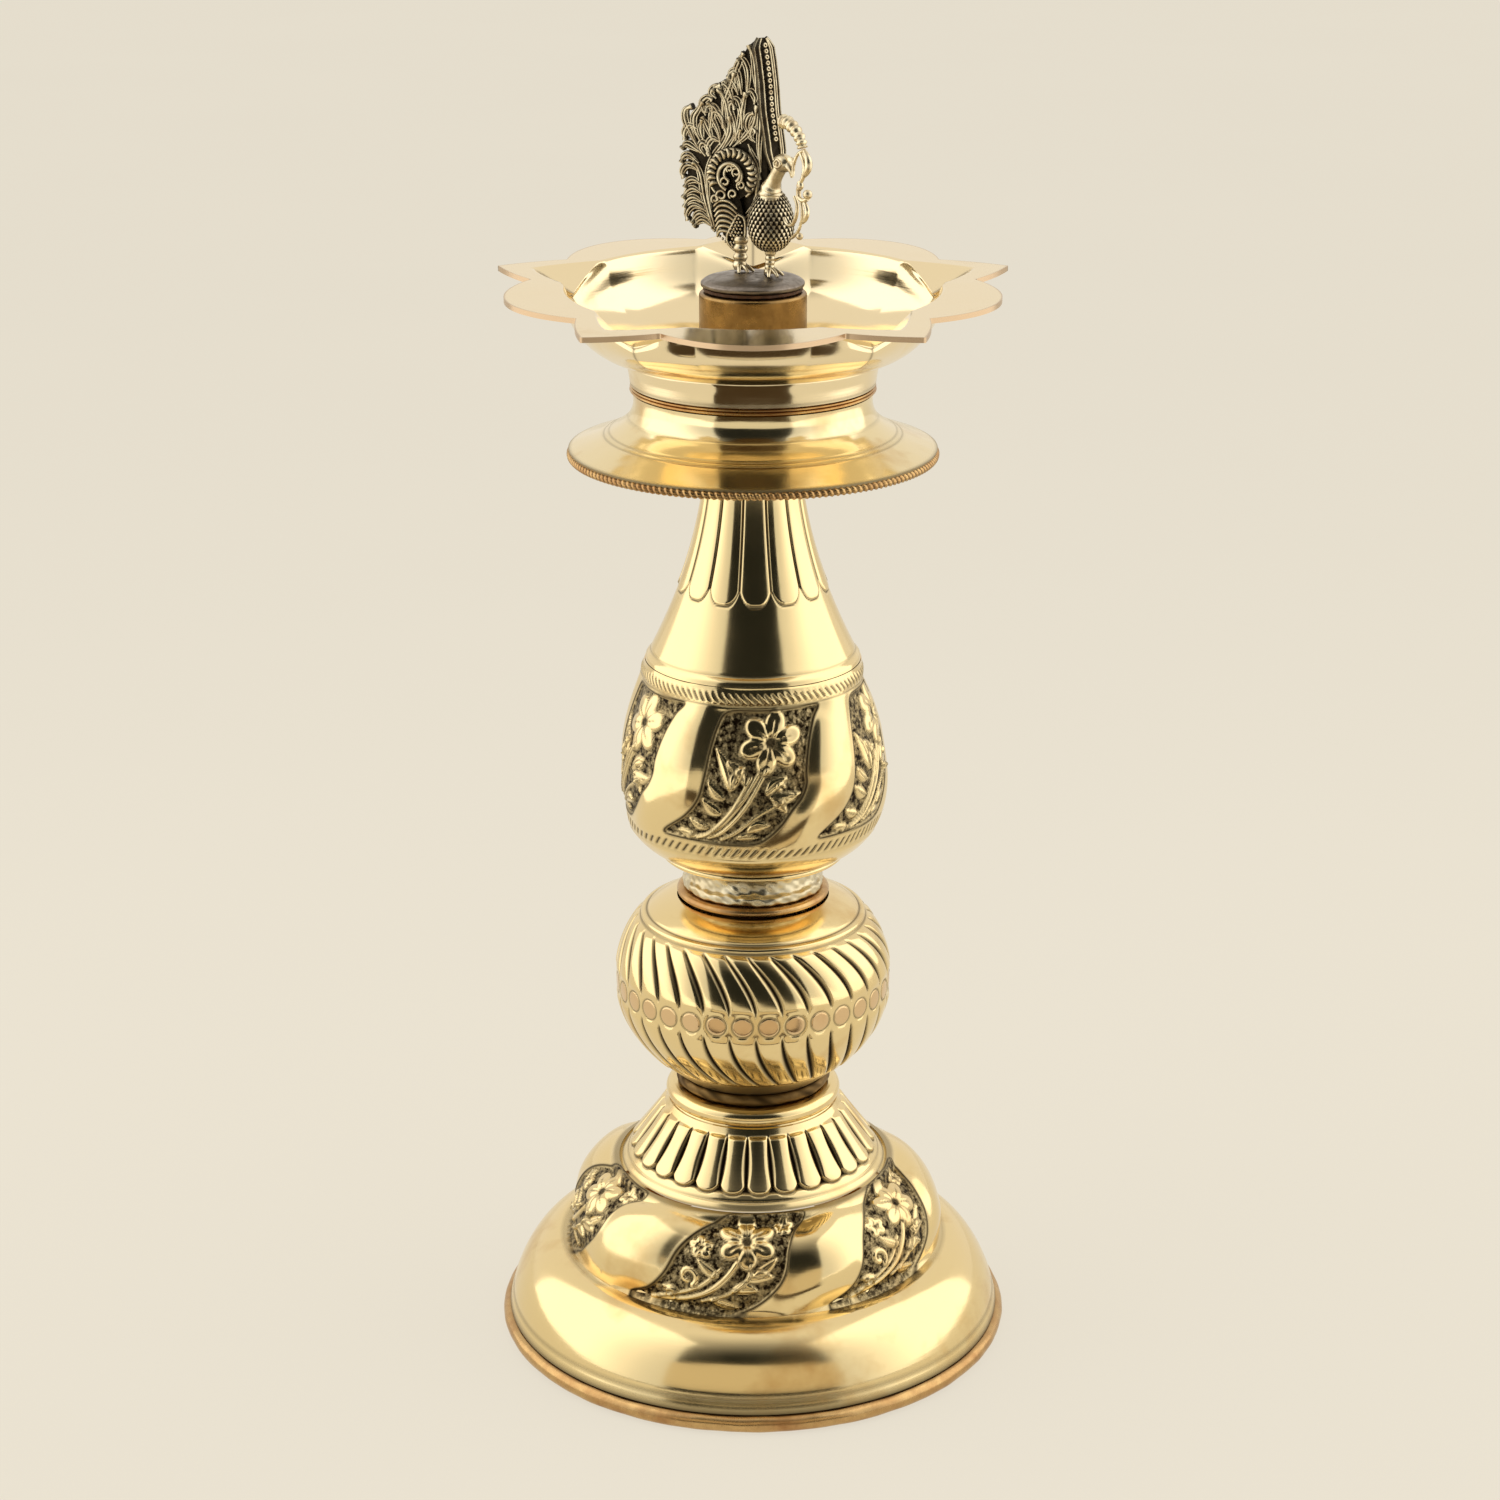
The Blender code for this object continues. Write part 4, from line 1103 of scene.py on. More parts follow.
@dataclass
class NeckRing(SubAssembly):
    """Loose tarnished ring between base and knop."""

    body = "neck_ring"

    def build(self) -> None:
        """Build and dress the ring."""
        outer = arc((19.4, 71.2), (1.3, 1.6), -86, 86, 18)
        section = np.vstack([outer, [(6.7, 72.8), (6.7, 69.6)]])
        item = spin_section("tarnished_neck_ring", section, 320)

        def crude(at: Spots) -> Marks:
            """Crude uneven casting.

            Args:
                at: Where the points lie.

            Returns:
                Height and marks.
            """
            azimuth, path, _ = at
            waves = np.sin(9 * azimuth + 0.4) + 0.8 * np.sin(21 * azimuth + 2.0 * path)
            return {"height": -0.06 + 0.05 * waves, "patina_and_shade": 0.35 + 0.25 * waves}

        chase(item, outer, 2.0, crude)
        self.add(item, Finish.DARK, "dark_brass", "neck_ring")


@dataclass
class Knop(SubAssembly):
    """Melon-shaped knop of two half shells, with slanting strokes and a row of circles."""

    steps: int = 800
    wall: float = 1.5
    count: int = 33
    circle_offset_deg: float = -4.3
    circle_radius: float = 2.75
    seam_level: float = 99.25

    body = "knop"

    def build(self) -> None:
        """Build and dress every piece of the knop."""
        self.add(self.half("melon_lower_shell", False), Finish.CHASED, "polished_brass",
                 "knop_lower_shell")
        self.add(self.half("melon_upper_shell", True), Finish.CHASED, "polished_brass",
                 "knop_upper_shell")
        cap = np.vstack([arc((18.6, 123.9), (1.4, 1.2), -90, 90, 14),
                         [(16.3, 125.1), (16.3, 122.7)]])
        self.add(spin_section("melon_cap_ring", cap, 260), Finish.COPPERY, "dark_brass",
                 "knop_cap")
        self.keep("knop_hub", Finish.RAW)
        self.keep("knop_bush", Finish.RAW)
        self.add(threaded_stud("melon_stud", 6.0, 58.3, 86.1), Finish.THREADED,
                 "threaded_brass", "knop_stud")

    def half(self, name: str, upper: bool) -> Piece:
        """One half shell.

        Args:
            name: Name of the piece.
            upper: True for the upper half.

        Returns:
            The chased half shell.
        """
        if upper:
            line = bezier((36.3, self.seam_level), (36.3, 110.0), (30.5, 120.0), (20.0, 122.4), 90)
            size, slant_deg, start = 0.0, -15.5, 3.0
        else:
            line = bezier((20.0, 73.1), (29.0, 80.0), (36.3, 87.9), (36.3, self.seam_level), 90)
            size, slant_deg, start = float(lengths(line)[-1]), 13.0, 3.2
        outline = resample(line, 0.34)
        reach = 18.8 if upper else 24.0

        def strokes(at: Spots) -> Marks:
            """Slanting strokes, half of the row of circles and, above, a beaded line.

            Args:
                at: Where the points lie.

            Returns:
                Height and marks.
            """
            azimuth, path, radius = at
            away = path if upper else size - path
            t = unit((away - start) / (reach - start))
            turned = azimuth - math.radians(slant_deg) * t ** 1.7
            spacing = math.tau / self.count
            off = (turned - math.radians(self.circle_offset_deg)) / spacing
            phase = np.abs((off + 0.5) % 1.0 - 0.5) * 2.0
            beside = (1.0 - phase) * spacing / 2 * radius
            body = step_up(away, start - 0.6, start + 1.5) * (
                1.0 - step_up(away, reach - 1.6, reach))
            thick = 0.2 + 0.56 * np.sin(np.pi * unit(t * 0.92 + 0.04)) ** 1.2
            stroke = ridge(beside, thick) * body
            swell = np.sqrt(unit(1.0 - phase ** 2)) * body
            circles = (azimuth - math.radians(self.circle_offset_deg)) / spacing
            du = ((circles + 0.5) % 1.0 - 0.5) * spacing * radius
            rho = np.hypot(du, away)
            circle = ridge(rho - self.circle_radius, 0.22)
            height = 0.45 * swell - 0.5 * stroke - 0.22 * circle
            dark = np.maximum(unit(1.25 * stroke), 0.7 * circle)
            if upper:
                bead = ridge(away - 20.3, 0.75)
                line_cut = ridge(away - 19.2, 0.3) + ridge(away - 21.5, 0.3)
                height = height + 0.55 * bead - 0.3 * line_cut
                dark = np.maximum(dark, 0.75 * line_cut)
            else:
                dark = np.maximum(dark, 0.5 * step_up(away, reach - 1.0, reach + 2.0))
            inside = 1.0 - step_up(rho, self.circle_radius - 0.5, self.circle_radius)
            return {"height": height, "patina_and_shade": dark, "blush": 0.4 * inside}

        return spun_shell(name, outline, self.wall, self.steps, strokes)


@dataclass
class SeatCollar(SubAssembly):
    """Crude silvery loose collar between knop and shaft."""

    body = "seat_collar"

    def build(self) -> None:
        """Build and dress the collar."""
        outer = np.array([(18.2, 125.4), (18.5, 125.9), (18.4, 127.4), (17.3, 128.4),
                          (17.1, 130.6), (17.6, 131.8), (18.3, 132.4), (18.4, 133.3),
                          (18.0, 133.8)])
        outer = resample(smooth_line(outer, 8), 0.25)
        section = np.vstack([outer, [(13.6, 133.8), (13.6, 125.4)]])
        item = spin_section("filed_seat_collar", section, 360)

        def filed(at: Spots) -> Marks:
            """Rough filing.

            Args:
                at: Where the points lie.

            Returns:
                Height and marks.
            """
            azimuth, path, _ = at
            waves = (np.sin(7 * azimuth + 0.8 * path) + np.sin(13 * azimuth - 1.7 * path)
                     + 0.7 * np.sin(31 * azimuth + 2.3 * path))
            return {"height": 0.09 * waves - 0.1, "patina_and_shade": 0.3 * unit(-waves - 0.4)}

        chase(item, outer, 4.0, filed)
        self.add(item, Finish.PALE, "pale_brass", "seat_collar")


def threaded_stud(name: str, radius: float, low: float, high: float) -> Piece:
    """A stud with a cut thread of 2 mm pitch.

    Args:
        name: Name of the piece.
        radius: Outer radius of the thread.
        low: Height of its lower end.
        high: Height of its upper end.

    Returns:
        The stud.
    """
    chamfer, pitch, depth = 0.7, 2.0, 0.9
    side = resample(np.array([(radius, low + chamfer), (radius, high - chamfer)]), 0.25)
    section = np.vstack([[(0.0, low), (radius - chamfer, low)], side,
                         [(radius - chamfer, high), (0.0, high)]])
    item = spin_section(name, section, 96)

    def thread(at: Spots) -> Marks:
        """Screw thread.

        Args:
            at: Where the points lie.

        Returns:
            Height and marks.
        """
        azimuth, path, _ = at
        phase = (path / pitch + azimuth / math.tau) % 1.0
        valley = 1.0 - np.abs(phase * 2.0 - 1.0)
        return {"height": -depth * valley, "patina_and_shade": 0.5 * step_up(valley, 0.7, 1.0)}

    chase(item, side, 1.0, thread)
    return item


@dataclass
class Shaft(SubAssembly):
    """Pear-shaped shaft: foot, belly with flower panels, fluted neck."""

    steps: int = 680
    wall: float = 1.5
    panels: int = 5
    panel_offset_deg: float = 0.0
    petals: int = 14
    petal_offset_deg: float = -11.0

    body = "shaft"

    def build(self) -> None:
        """Build and dress every piece of the shaft."""
        foot = np.vstack([arc((23.0, 135.1), (1.2, 1.0), -90, 90, 12),
                          [(6.3, 136.1), (6.3, 134.1)]])
        self.add(spin_section("shaft_foot_ring", foot, 300), Finish.POLISHED, "polished_brass",
                 "shaft_foot")
        self.add(self.belly(), Finish.CHASED, "polished_brass", "shaft_belly")
        self.add(self.neck(), Finish.POLISHED, "polished_brass", "shaft_neck")
        self.keep("shaft_bush", Finish.RAW)
        self.add(threaded_stud("shaft_screw_stud", 6.0, 114.1, 147.1), Finish.THREADED,
                 "threaded_brass", "shaft_stud")

    def panel(self) -> Canvas:
        """One S-shaped flower panel of the belly.

        Returns:
            The chased sheet.
        """
        sheet = Canvas(-34.0, 26.0, 10.0, 56.0, depth=0.8)
        sheet.sink([(-6.2, 50.4), (-9.3, 46.2), (-11.5, 39.4), (-12.8, 33.8), (-14.7, 27.4),
                    (-18.5, 22.3), (-25.6, 16.0), (-16.5, 15.4), (-6.8, 15.0), (1.1, 15.6),
                    (6.6, 19.9), (10.3, 24.8), (12.9, 27.8), (14.3, 31.2), (14.2, 34.8),
                    (15.0, 41.9), (16.4, 47.7), (17.9, 51.0), (11.7, 51.0), (2.9, 50.7)],
                   lobe=1.2, reach=3.2)
        sheet.stem([(3.6, 35.6), (-1.9, 25.9), (-8.0, 18.7), (-12.0, 16.4)], 0.55)
        sheet.stem([(1.8, 35.0), (-3.4, 26.6), (-9.5, 19.4), (-15.0, 16.2)], 0.55)
        sheet.stem([(-0.6, 33.6), (-5.6, 24.9), (-12.4, 17.6), (-18.0, 16.0)], 0.5)
        sheet.stem([(7.6, 27.2), (1.0, 23.4), (-4.5, 18.6), (-8.5, 16.2)], 0.5)
        for base, tip, half_width, bend in (
                ((-5.9, 29.8), (-10.0, 41.4), 1.9, -1.0), ((-5.9, 30.2), (-2.0, 37.0), 1.5, 0.5),
                ((-6.6, 38.0), (-2.2, 31.6), 1.5, 0.9), ((-7.6, 27.6), (-12.2, 32.4), 1.7, 0.6),
                ((-8.5, 23.6), (-13.8, 27.6), 1.8, 0.6), ((-12.0, 19.2), (-17.6, 21.8), 1.5, 0.5),
                ((-16.0, 17.0), (-21.6, 17.8), 1.2, 0.4), ((3.4, 29.2), (9.4, 33.6), 1.7, 0.9),
                ((4.2, 28.6), (13.0, 29.4), 1.8, -0.9), ((5.2, 27.8), (9.0, 24.0), 1.4, 0.5),
                ((-1.6, 19.0), (4.6, 20.6), 1.7, 0.9), ((-4.6, 16.8), (1.4, 17.0), 1.2, 0.5)):
            sheet.leaf(base, tip, half_width, bend)
        sheet.curl((7.2, 31.0), 1.2, 0, 300, 0.4)
        sheet.flower((4.7, 42.6), 8.4, 6, 77.0, 1.2)
        return sheet

    def belly(self) -> Piece:
        """Belly of the pear, chased with flower panels between two hatched bands.

        Returns:
            The belly.
        """
        line = np.vstack([bezier((25.2, 136.2), (32.8, 140.5), (35.6, 147.5), (35.6, 156.5), 60),
                          bezier((35.6, 156.5), (35.6, 169.0), (30.6, 179.0), (27.8, 187.5),
                                 60)[1:]])
        outline = resample(line, 0.45)
        sheet = self.panel()
        centres = [self.panel_offset_deg + 360.0 / self.panels * k for k in range(self.panels)]

        def flowers(at: Spots) -> Marks:
            """Flower panels between the hatched bands.

            Args:
                at: Where the points lie.

            Returns:
                Height and marks.
            """
            path = at.path
            marks = wrap_panels(sheet, at, centres)
            cuts = hatch(at, 53.6, 1.5, 96, 1.1)
            low_cuts = hatch(at, 12.6, 1.6, 92, -1.1)
            lines = ridge(path - 51.7, 0.22) + 0.6 * ridge(path - 10.6, 0.2)
            marks["height"] = (marks["height"] - 0.3 * (cuts + low_cuts) - 0.2 * lines
                               + 0.35 * ridge(path - 53.6, 1.6))
            marks["patina_and_shade"] = np.maximum.reduce([marks["patina_and_shade"], 0.95 * cuts, 0.95 * low_cuts,
                                                 0.5 * lines])
            return marks

        return spun_shell("pear_belly", outline, self.wall, self.steps, flowers)

    def neck(self) -> Piece:
        """Long neck with petal flutes that hang from its top.

        Returns:
            The neck.
        """
        line = bezier((27.6, 187.6), (17.5, 207.0), (11.4, 226.0), (11.4, 248.1), 120)
        outline = resample(line, 0.45)
        total = float(lengths(line)[-1])

        def petals(at: Spots) -> Marks:
            """Hanging petals with cut outlines under a rounded top band.

            Args:
                at: Where the points lie.

            Returns:
                Height and marks.
            """
            azimuth, path, radius = at
            turns = (azimuth - math.radians(self.petal_offset_deg)) / math.tau * self.petals
            phase = np.abs(turns % 1.0 - 0.5) * 2.0
            pitch = math.tau / self.petals * radius
            edge = 20.2 + 4.4 * phase ** 3.2
            on_petal = step_up(path, edge - 0.1, edge + 0.5)
            cut = ridge((1.0 - phase) * pitch / 2, 0.26) * step_up(path, 23.6, 24.8)
            rim = ridge(path - edge, 0.3) * (path < 26.0)
            swell = np.sqrt(unit(1.0 - phase ** 2))
            band = ridge(path - 1.0, 0.9)
            top = 1.0 - step_up(path, total - 2.5, total - 0.5)
            return {"height": (0.42 * swell * on_petal * top - 0.4 * cut - 0.25 * rim
                               + 0.35 * band - 0.2 * ridge(path - 2.6, 0.25)),
                    "patina_and_shade": np.maximum.reduce([0.95 * cut, 0.9 * rim,
                                                 0.4 * ridge(path - 2.6, 0.25)])}

        return spun_shell("fluted_neck", outline, self.wall, 600, petals)


@dataclass
class Bowl(SubAssembly):
    """Drip skirt, seam ring, star-rimmed oil bowl and its boss."""

    steps: int = 640
    tip: float = 68.0
    lobe: float = 62.7
    notch: float = 55.5
    notch_deg: float = 13.0
    opening: float = 46.5
    rim_level: float = 283.9
    wall: float = 1.3
    spout_depth: float = 6.4
    spout_length: float = 12.0
    spout_half_width: float = 15.0
    lean_deg: float = 2.5
    tips: int = 5
    knurls: int = 180

    body = "bowl"

    def build(self) -> None:
        """Build and dress every piece of the bowl section."""
        self.add(self.skirt(), Finish.SKIRT, "polished_brass", "drip_skirt")
        self.add(self.bead(), Finish.COPPERY, "polished_brass", "skirt_bead")
        seam = np.vstack([arc((30.1, 257.75), (0.8, 0.42), -90, 90, 8),
                          arc((30.1, 258.55), (0.7, 0.38), -90, 90, 8),
                          [(28.2, 258.93), (28.2, 257.33)]])
        self.add(spin_section("double_seam_ring", seam, 360), Finish.COPPERY, "polished_brass",
                 "seam_ring")
        self.add(self.oil_bowl(), Finish.BOWL, "polished_brass", "oil_bowl")
        boss = np.vstack([[(3.3, 266.8), (13.4, 266.8)],
                          resample(np.array([(13.4, 267.0), (13.4, 281.0)]), 0.6),
                          arc((12.5, 281.1), (0.9, 0.9), 0, 90, 8), [(3.3, 282.0)]])
        self.add(spin_section("turned_boss", boss, 300), Finish.AMBER, "polished_brass",
                 "bowl_boss")
        self.keep("bowl_hub", Finish.RAW)
        self.add(threaded_stud("bowl_screw_stud", 5.0, 237.1, 263.9), Finish.THREADED,
                 "threaded_brass", "bowl_stud")

    def skirt(self) -> Piece:
        """Flared drip skirt with lathe and hammer marks.

        Returns:
            The skirt.
        """
        line = bezier((46.4, 242.9), (35.0, 247.0), (28.6, 250.0), (30.2, 257.0), 60)
        outline = resample(line, 0.5)

        def marks(at: Spots) -> Marks:
            """Rings left by the lathe.

            Args:
                at: Where the points lie.

            Returns:
                Height and marks.
            """
            path = at.path
            rings = (ridge(path - 9.6, 0.35) + ridge(path - 11.0, 0.3)
                     + 0.6 * ridge(path - 17.0, 0.4))
            return {"height": -0.12 * rings, "patina_and_shade": 0.35 * rings + 0.6 * ridge(path, 0.5)}

        return spun_shell("drip_skirt_shell", outline, 1.2, 480, marks)

    def bead(self) -> Piece:
        """Knurled rope bead on the skirt's edge.

        Returns:
            The bead.
        """
        roll = arc((45.7, 240.5 + 0.9), (1.0, 1.0), -90, 90, 10)
        section = np.vstack([roll, arc((45.7, 241.4), (1.0, 1.0), 90, 270, 6)[1:-1]])
        item = spin_section("knurled_rope_bead", section, 900)

        def knurl(at: Spots) -> Marks:
            """Slanting knurls.

            Args:
                at: Where the points lie.

            Returns:
                Height and marks.
            """
            azimuth, path, _ = at
            phase = np.sin(azimuth * self.knurls + path * 1.6)
            return {"height": 0.17 * phase, "patina_and_shade": 0.85 * step_up(-phase, 0.1, 0.9)}

        chase(item, roll, 1.4, knurl)
        return item

    def edge_radius(self, from_tip: Array) -> Array:
        """Radius of the star's cut edge.

        Args:
            from_tip: Angle from the nearest tip, in degrees.

        Returns:
            The edge's radius.
        """
        straight = self.tip + (self.notch - self.tip) * from_tip / self.notch_deg
        along = unit((from_tip - self.notch_deg) / (180.0 / self.tips - self.notch_deg))
        lobe = self.notch + (self.lobe - self.notch) * np.sin(along * math.pi / 2)
        return np.where(from_tip <= self.notch_deg, straight, lobe)

    def oil_bowl(self) -> Piece:
        """Bowl with a flat rim cut to a five-pointed star and five pressed wick spouts.

        Returns:
            The bowl.
        """
        outer_edge = self.opening + self.wall
        rim = self.rim_level
        inner = bezier((29.9, 266.5), (38.9, 267.5), (44.3, 272.9), (45.3, 276.9), 40)
        shoulder = bezier((45.3, 276.9), (45.9, 279.5), (45.9, rim), (47.6, rim), 24)
        inside = resample(np.vstack([inner, shoulder[1:]]), 0.7)
        flat = resample(np.array([(47.8, rim), (self.tip, rim)]), 0.75)
        under = flat[::-1] - (0.0, self.wall)
        wall_out = bezier((46.9, rim - 2.4), (46.6, 274.0), (40.5, 267.0), (31.9, 265.2), 40)
        band = resample(np.array([(31.9, 265.0), (31.2, 262.6), (30.7, 259.2)]), 0.6)
        hidden = np.array([(28.9, 259.2), (28.6, 264.0), (28.0, 265.2), (14.0, 265.2),
                           (0.0, 265.2)])
        floor = resample(np.array([(0.0, 266.5), (29.9, 266.5)]), 3.0)
        section = np.vstack([floor, inside[1:], flat, under, resample(wall_out, 0.8), band,
                             hidden])
        item = spin_section("star_rim_oil_bowl", section, self.steps)
        corners = corners_of(item)
        x, y, z = corners.T
        radius = np.hypot(x, y)
        azimuth = np.degrees(np.arctan2(x, -y))
        from_tip = np.abs(azimuth % (360.0 / self.tips) - 180.0 / self.tips)
        share = unit((radius - outer_edge) / (self.tip - outer_edge))
        grown = np.where(radius > outer_edge,
                         outer_edge + share * (self.edge_radius(from_tip) - outer_edge), radius)
        x, y = x * grown / np.maximum(radius, 0.001), y * grown / np.maximum(radius, 0.001)
        beside = np.radians(from_tip) * grown
        out = grown - self.opening
        fold = unit(1.0 - np.maximum(out, 0.0) / self.spout_length
                       - (beside / self.spout_half_width) ** 1.15)
        high = unit((z - rim + 15.0) / 15.0)
        drop = self.spout_depth * fold * high
        push = 1.6 * fold * high * step_up(grown, 40.0, 45.0) * (out <= 0.6)
        x, y = x * (1.0 + push / np.maximum(grown, 1.0)), y * (1.0 + push / np.maximum(grown, 1.0))
        z = z - drop
        lean = math.tan(math.radians(self.lean_deg)) * unit(
            (z - 266.5) / (rim - self.spout_depth - 266.5))
        z = z + np.where(y > 0.0, y * 0.72, y) * lean
        move_corners(item, np.stack([x, y, z], axis=1))
        cut_edge = step_up(share, 0.985, 0.999)
        crease = ridge(beside, 0.35) * step_up(fold, 0.02, 0.2) * (z > 270.0)
        mark(item, "patina_and_shade", np.maximum.reduce([
            0.3 * cut_edge, 0.55 * crease, 0.5 * ridge(z - 259.6, 0.5) * (radius > 29.0)]))
        mark(item, "blush", 0.45 * cut_edge)
        return item


@dataclass
class Washers(SubAssembly):
    """The two loose leather washers, which stay as they are in the frame."""

    def build(self) -> None:
        """Dress both washers."""
        self.keep("bowl_washer", Finish.LEATHER)
        self.keep("finial_washer", Finish.LEATHER)


# The tail's wires: distance back from its root and height over the disc

PLUMES = (
    ((13.5, 8.7), (15.1, 13.8), (16.0, 17.7), (16.6, 22.1), (17.4, 24.5), (18.3, 25.4)),
    ((13.0, 8.8), (14.5, 14.7), (15.1, 19.9), (14.8, 24.0), (13.2, 27.4), (10.6, 30.9),
     (9.0, 35.2), (8.7, 38.9), (9.7, 41.2), (10.8, 42.5)),
    ((11.9, 27.9), (10.0, 31.0), (8.7, 33.6), (8.5, 36.5)),
    ((17.3, 29.4), (18.7, 32.4), (19.5, 35.2), (19.0, 37.3), (17.3, 38.1)),
    ((16.6, 30.6), (17.7, 33.4), (17.5, 35.8), (16.0, 37.6), (14.7, 39.2)),
    ((16.0, 31.1), (16.5, 33.3), (15.7, 35.5)),
    ((11.7, 30.0), (12.2, 33.2), (13.1, 35.9), (12.2, 37.2), (10.5, 36.4), (10.4, 34.0)),
    ((13.8, 31.0), (14.8, 34.1), (15.5, 36.1)),
    ((10.0, 31.8), (10.5, 35.0), (11.9, 38.1), (13.7, 38.2), (14.3, 37.0)),
    ((8.7, 36.0), (8.8, 39.3), (10.0, 42.2), (11.4, 42.9), (12.1, 41.9)),
    ((7.6, 31.3), (7.5, 35.3), (8.0, 38.1), (7.1, 39.2), (6.5, 37.9)),
    ((5.9, 33.5), (5.2, 36.8), (5.4, 39.4), (6.4, 40.3), (7.1, 39.5)),
    ((3.3, 32.2), (4.6, 34.5), (3.7, 36.6), (2.6, 37.3)),
    ((2.5, 31.1), (3.8, 32.5), (3.1, 34.2), (2.3, 33.3)),
    ((6.3, 30.6), (6.8, 32.2), (6.1, 33.9)),
    ((2.5, 39.2), (2.4, 40.8), (3.1, 42.3), (3.8, 41.2)),
    ((3.8, 40.6), (3.5, 44.7), (3.7, 48.0), (4.6, 50.1), (5.5, 49.4)),
    ((4.6, 41.4), (5.1, 44.5), (6.0, 46.9), (7.5, 46.5), (8.0, 45.2)),
    ((5.5, 41.3), (6.3, 43.6), (7.6, 44.9), (8.8, 44.1)),
    ((6.8, 39.5), (7.8, 42.2), (9.2, 43.7), (10.2, 42.7)),
    ((14.5, 32.9), (13.5, 35.5), (12.5, 38.0), (13.5, 39.1)),
    ((16.4, 27.8), (18.4, 29.2), (19.8, 29.8), (20.9, 28.6)),
    ((17.0, 25.3), (19.0, 27.0), (20.4, 26.7), (21.0, 25.2)),
    ((16.6, 22.9), (18.5, 24.5), (20.0, 24.4), (20.9, 22.8), (20.3, 21.4)),
    ((16.4, 20.1), (18.1, 21.1), (19.5, 20.6), (20.1, 19.1)),
    ((16.2, 17.7), (18.1, 18.9), (19.5, 18.3), (20.6, 16.4)),
    ((15.8, 15.3), (18.0, 16.7), (19.6, 16.0), (20.7, 14.1)),
    ((15.2, 13.4), (17.7, 14.7), (19.3, 14.2), (20.6, 12.5), (20.3, 10.9)),
    ((14.6, 11.4), (16.8, 12.8), (18.3, 12.1), (19.3, 10.4)),
    ((13.7, 9.7), (16.0, 11.3), (17.5, 11.0), (18.8, 9.5)),
    ((15.5, 27.1), (16.8, 29.0), (16.2, 30.3), (14.9, 29.2), (14.5, 27.2)),
    ((11.9, 30.8), (13.8, 31.4), (15.1, 29.6), (14.8, 27.6)),
    ((11.0, 8.0), (7.5, 9.5), (4.5, 12.0), (2.6, 16.0), (2.0, 22.0)),
    ((12.4, 10.0), (9.4, 13.0), (8.0, 17.5), (9.0, 22.0), (12.0, 25.0)),
    ((2.2, 42.0), (2.3, 46.0), (2.6, 50.0), (3.4, 53.4)),
    ((1.2, 24.0), (1.6, 30.0), (1.2, 36.0), (1.0, 44.0), (1.2, 52.6)),
    ((9.2, 29.8), (6.6, 34.0), (4.6, 38.6), (3.9, 42.0)),
    ((8.4, 29.6), (5.0, 32.6), (2.8, 35.2), (2.0, 39.0)),
    ((10.2, 36.6), (9.0, 40.0), (7.6, 43.4), (6.4, 46.6)),
    ((14.6, 36.4), (15.2, 38.6), (13.6, 40.2), (12.2, 39.6)),
    ((11.2, 40.2), (12.6, 41.4), (11.6, 42.8), (10.0, 43.4)),
    ((6.2, 44.0), (6.2, 46.8), (5.0, 49.6), (4.2, 51.4)),
    ((17.2, 33.6), (18.8, 34.2), (20.2, 32.6), (20.0, 30.8)),
    ((4.4, 30.6), (3.0, 27.4), (2.0, 25.4), (1.6, 22.0)),
    ((1.4, 18.0), (3.0, 15.0), (5.0, 12.6), (8.0, 10.4)),
)


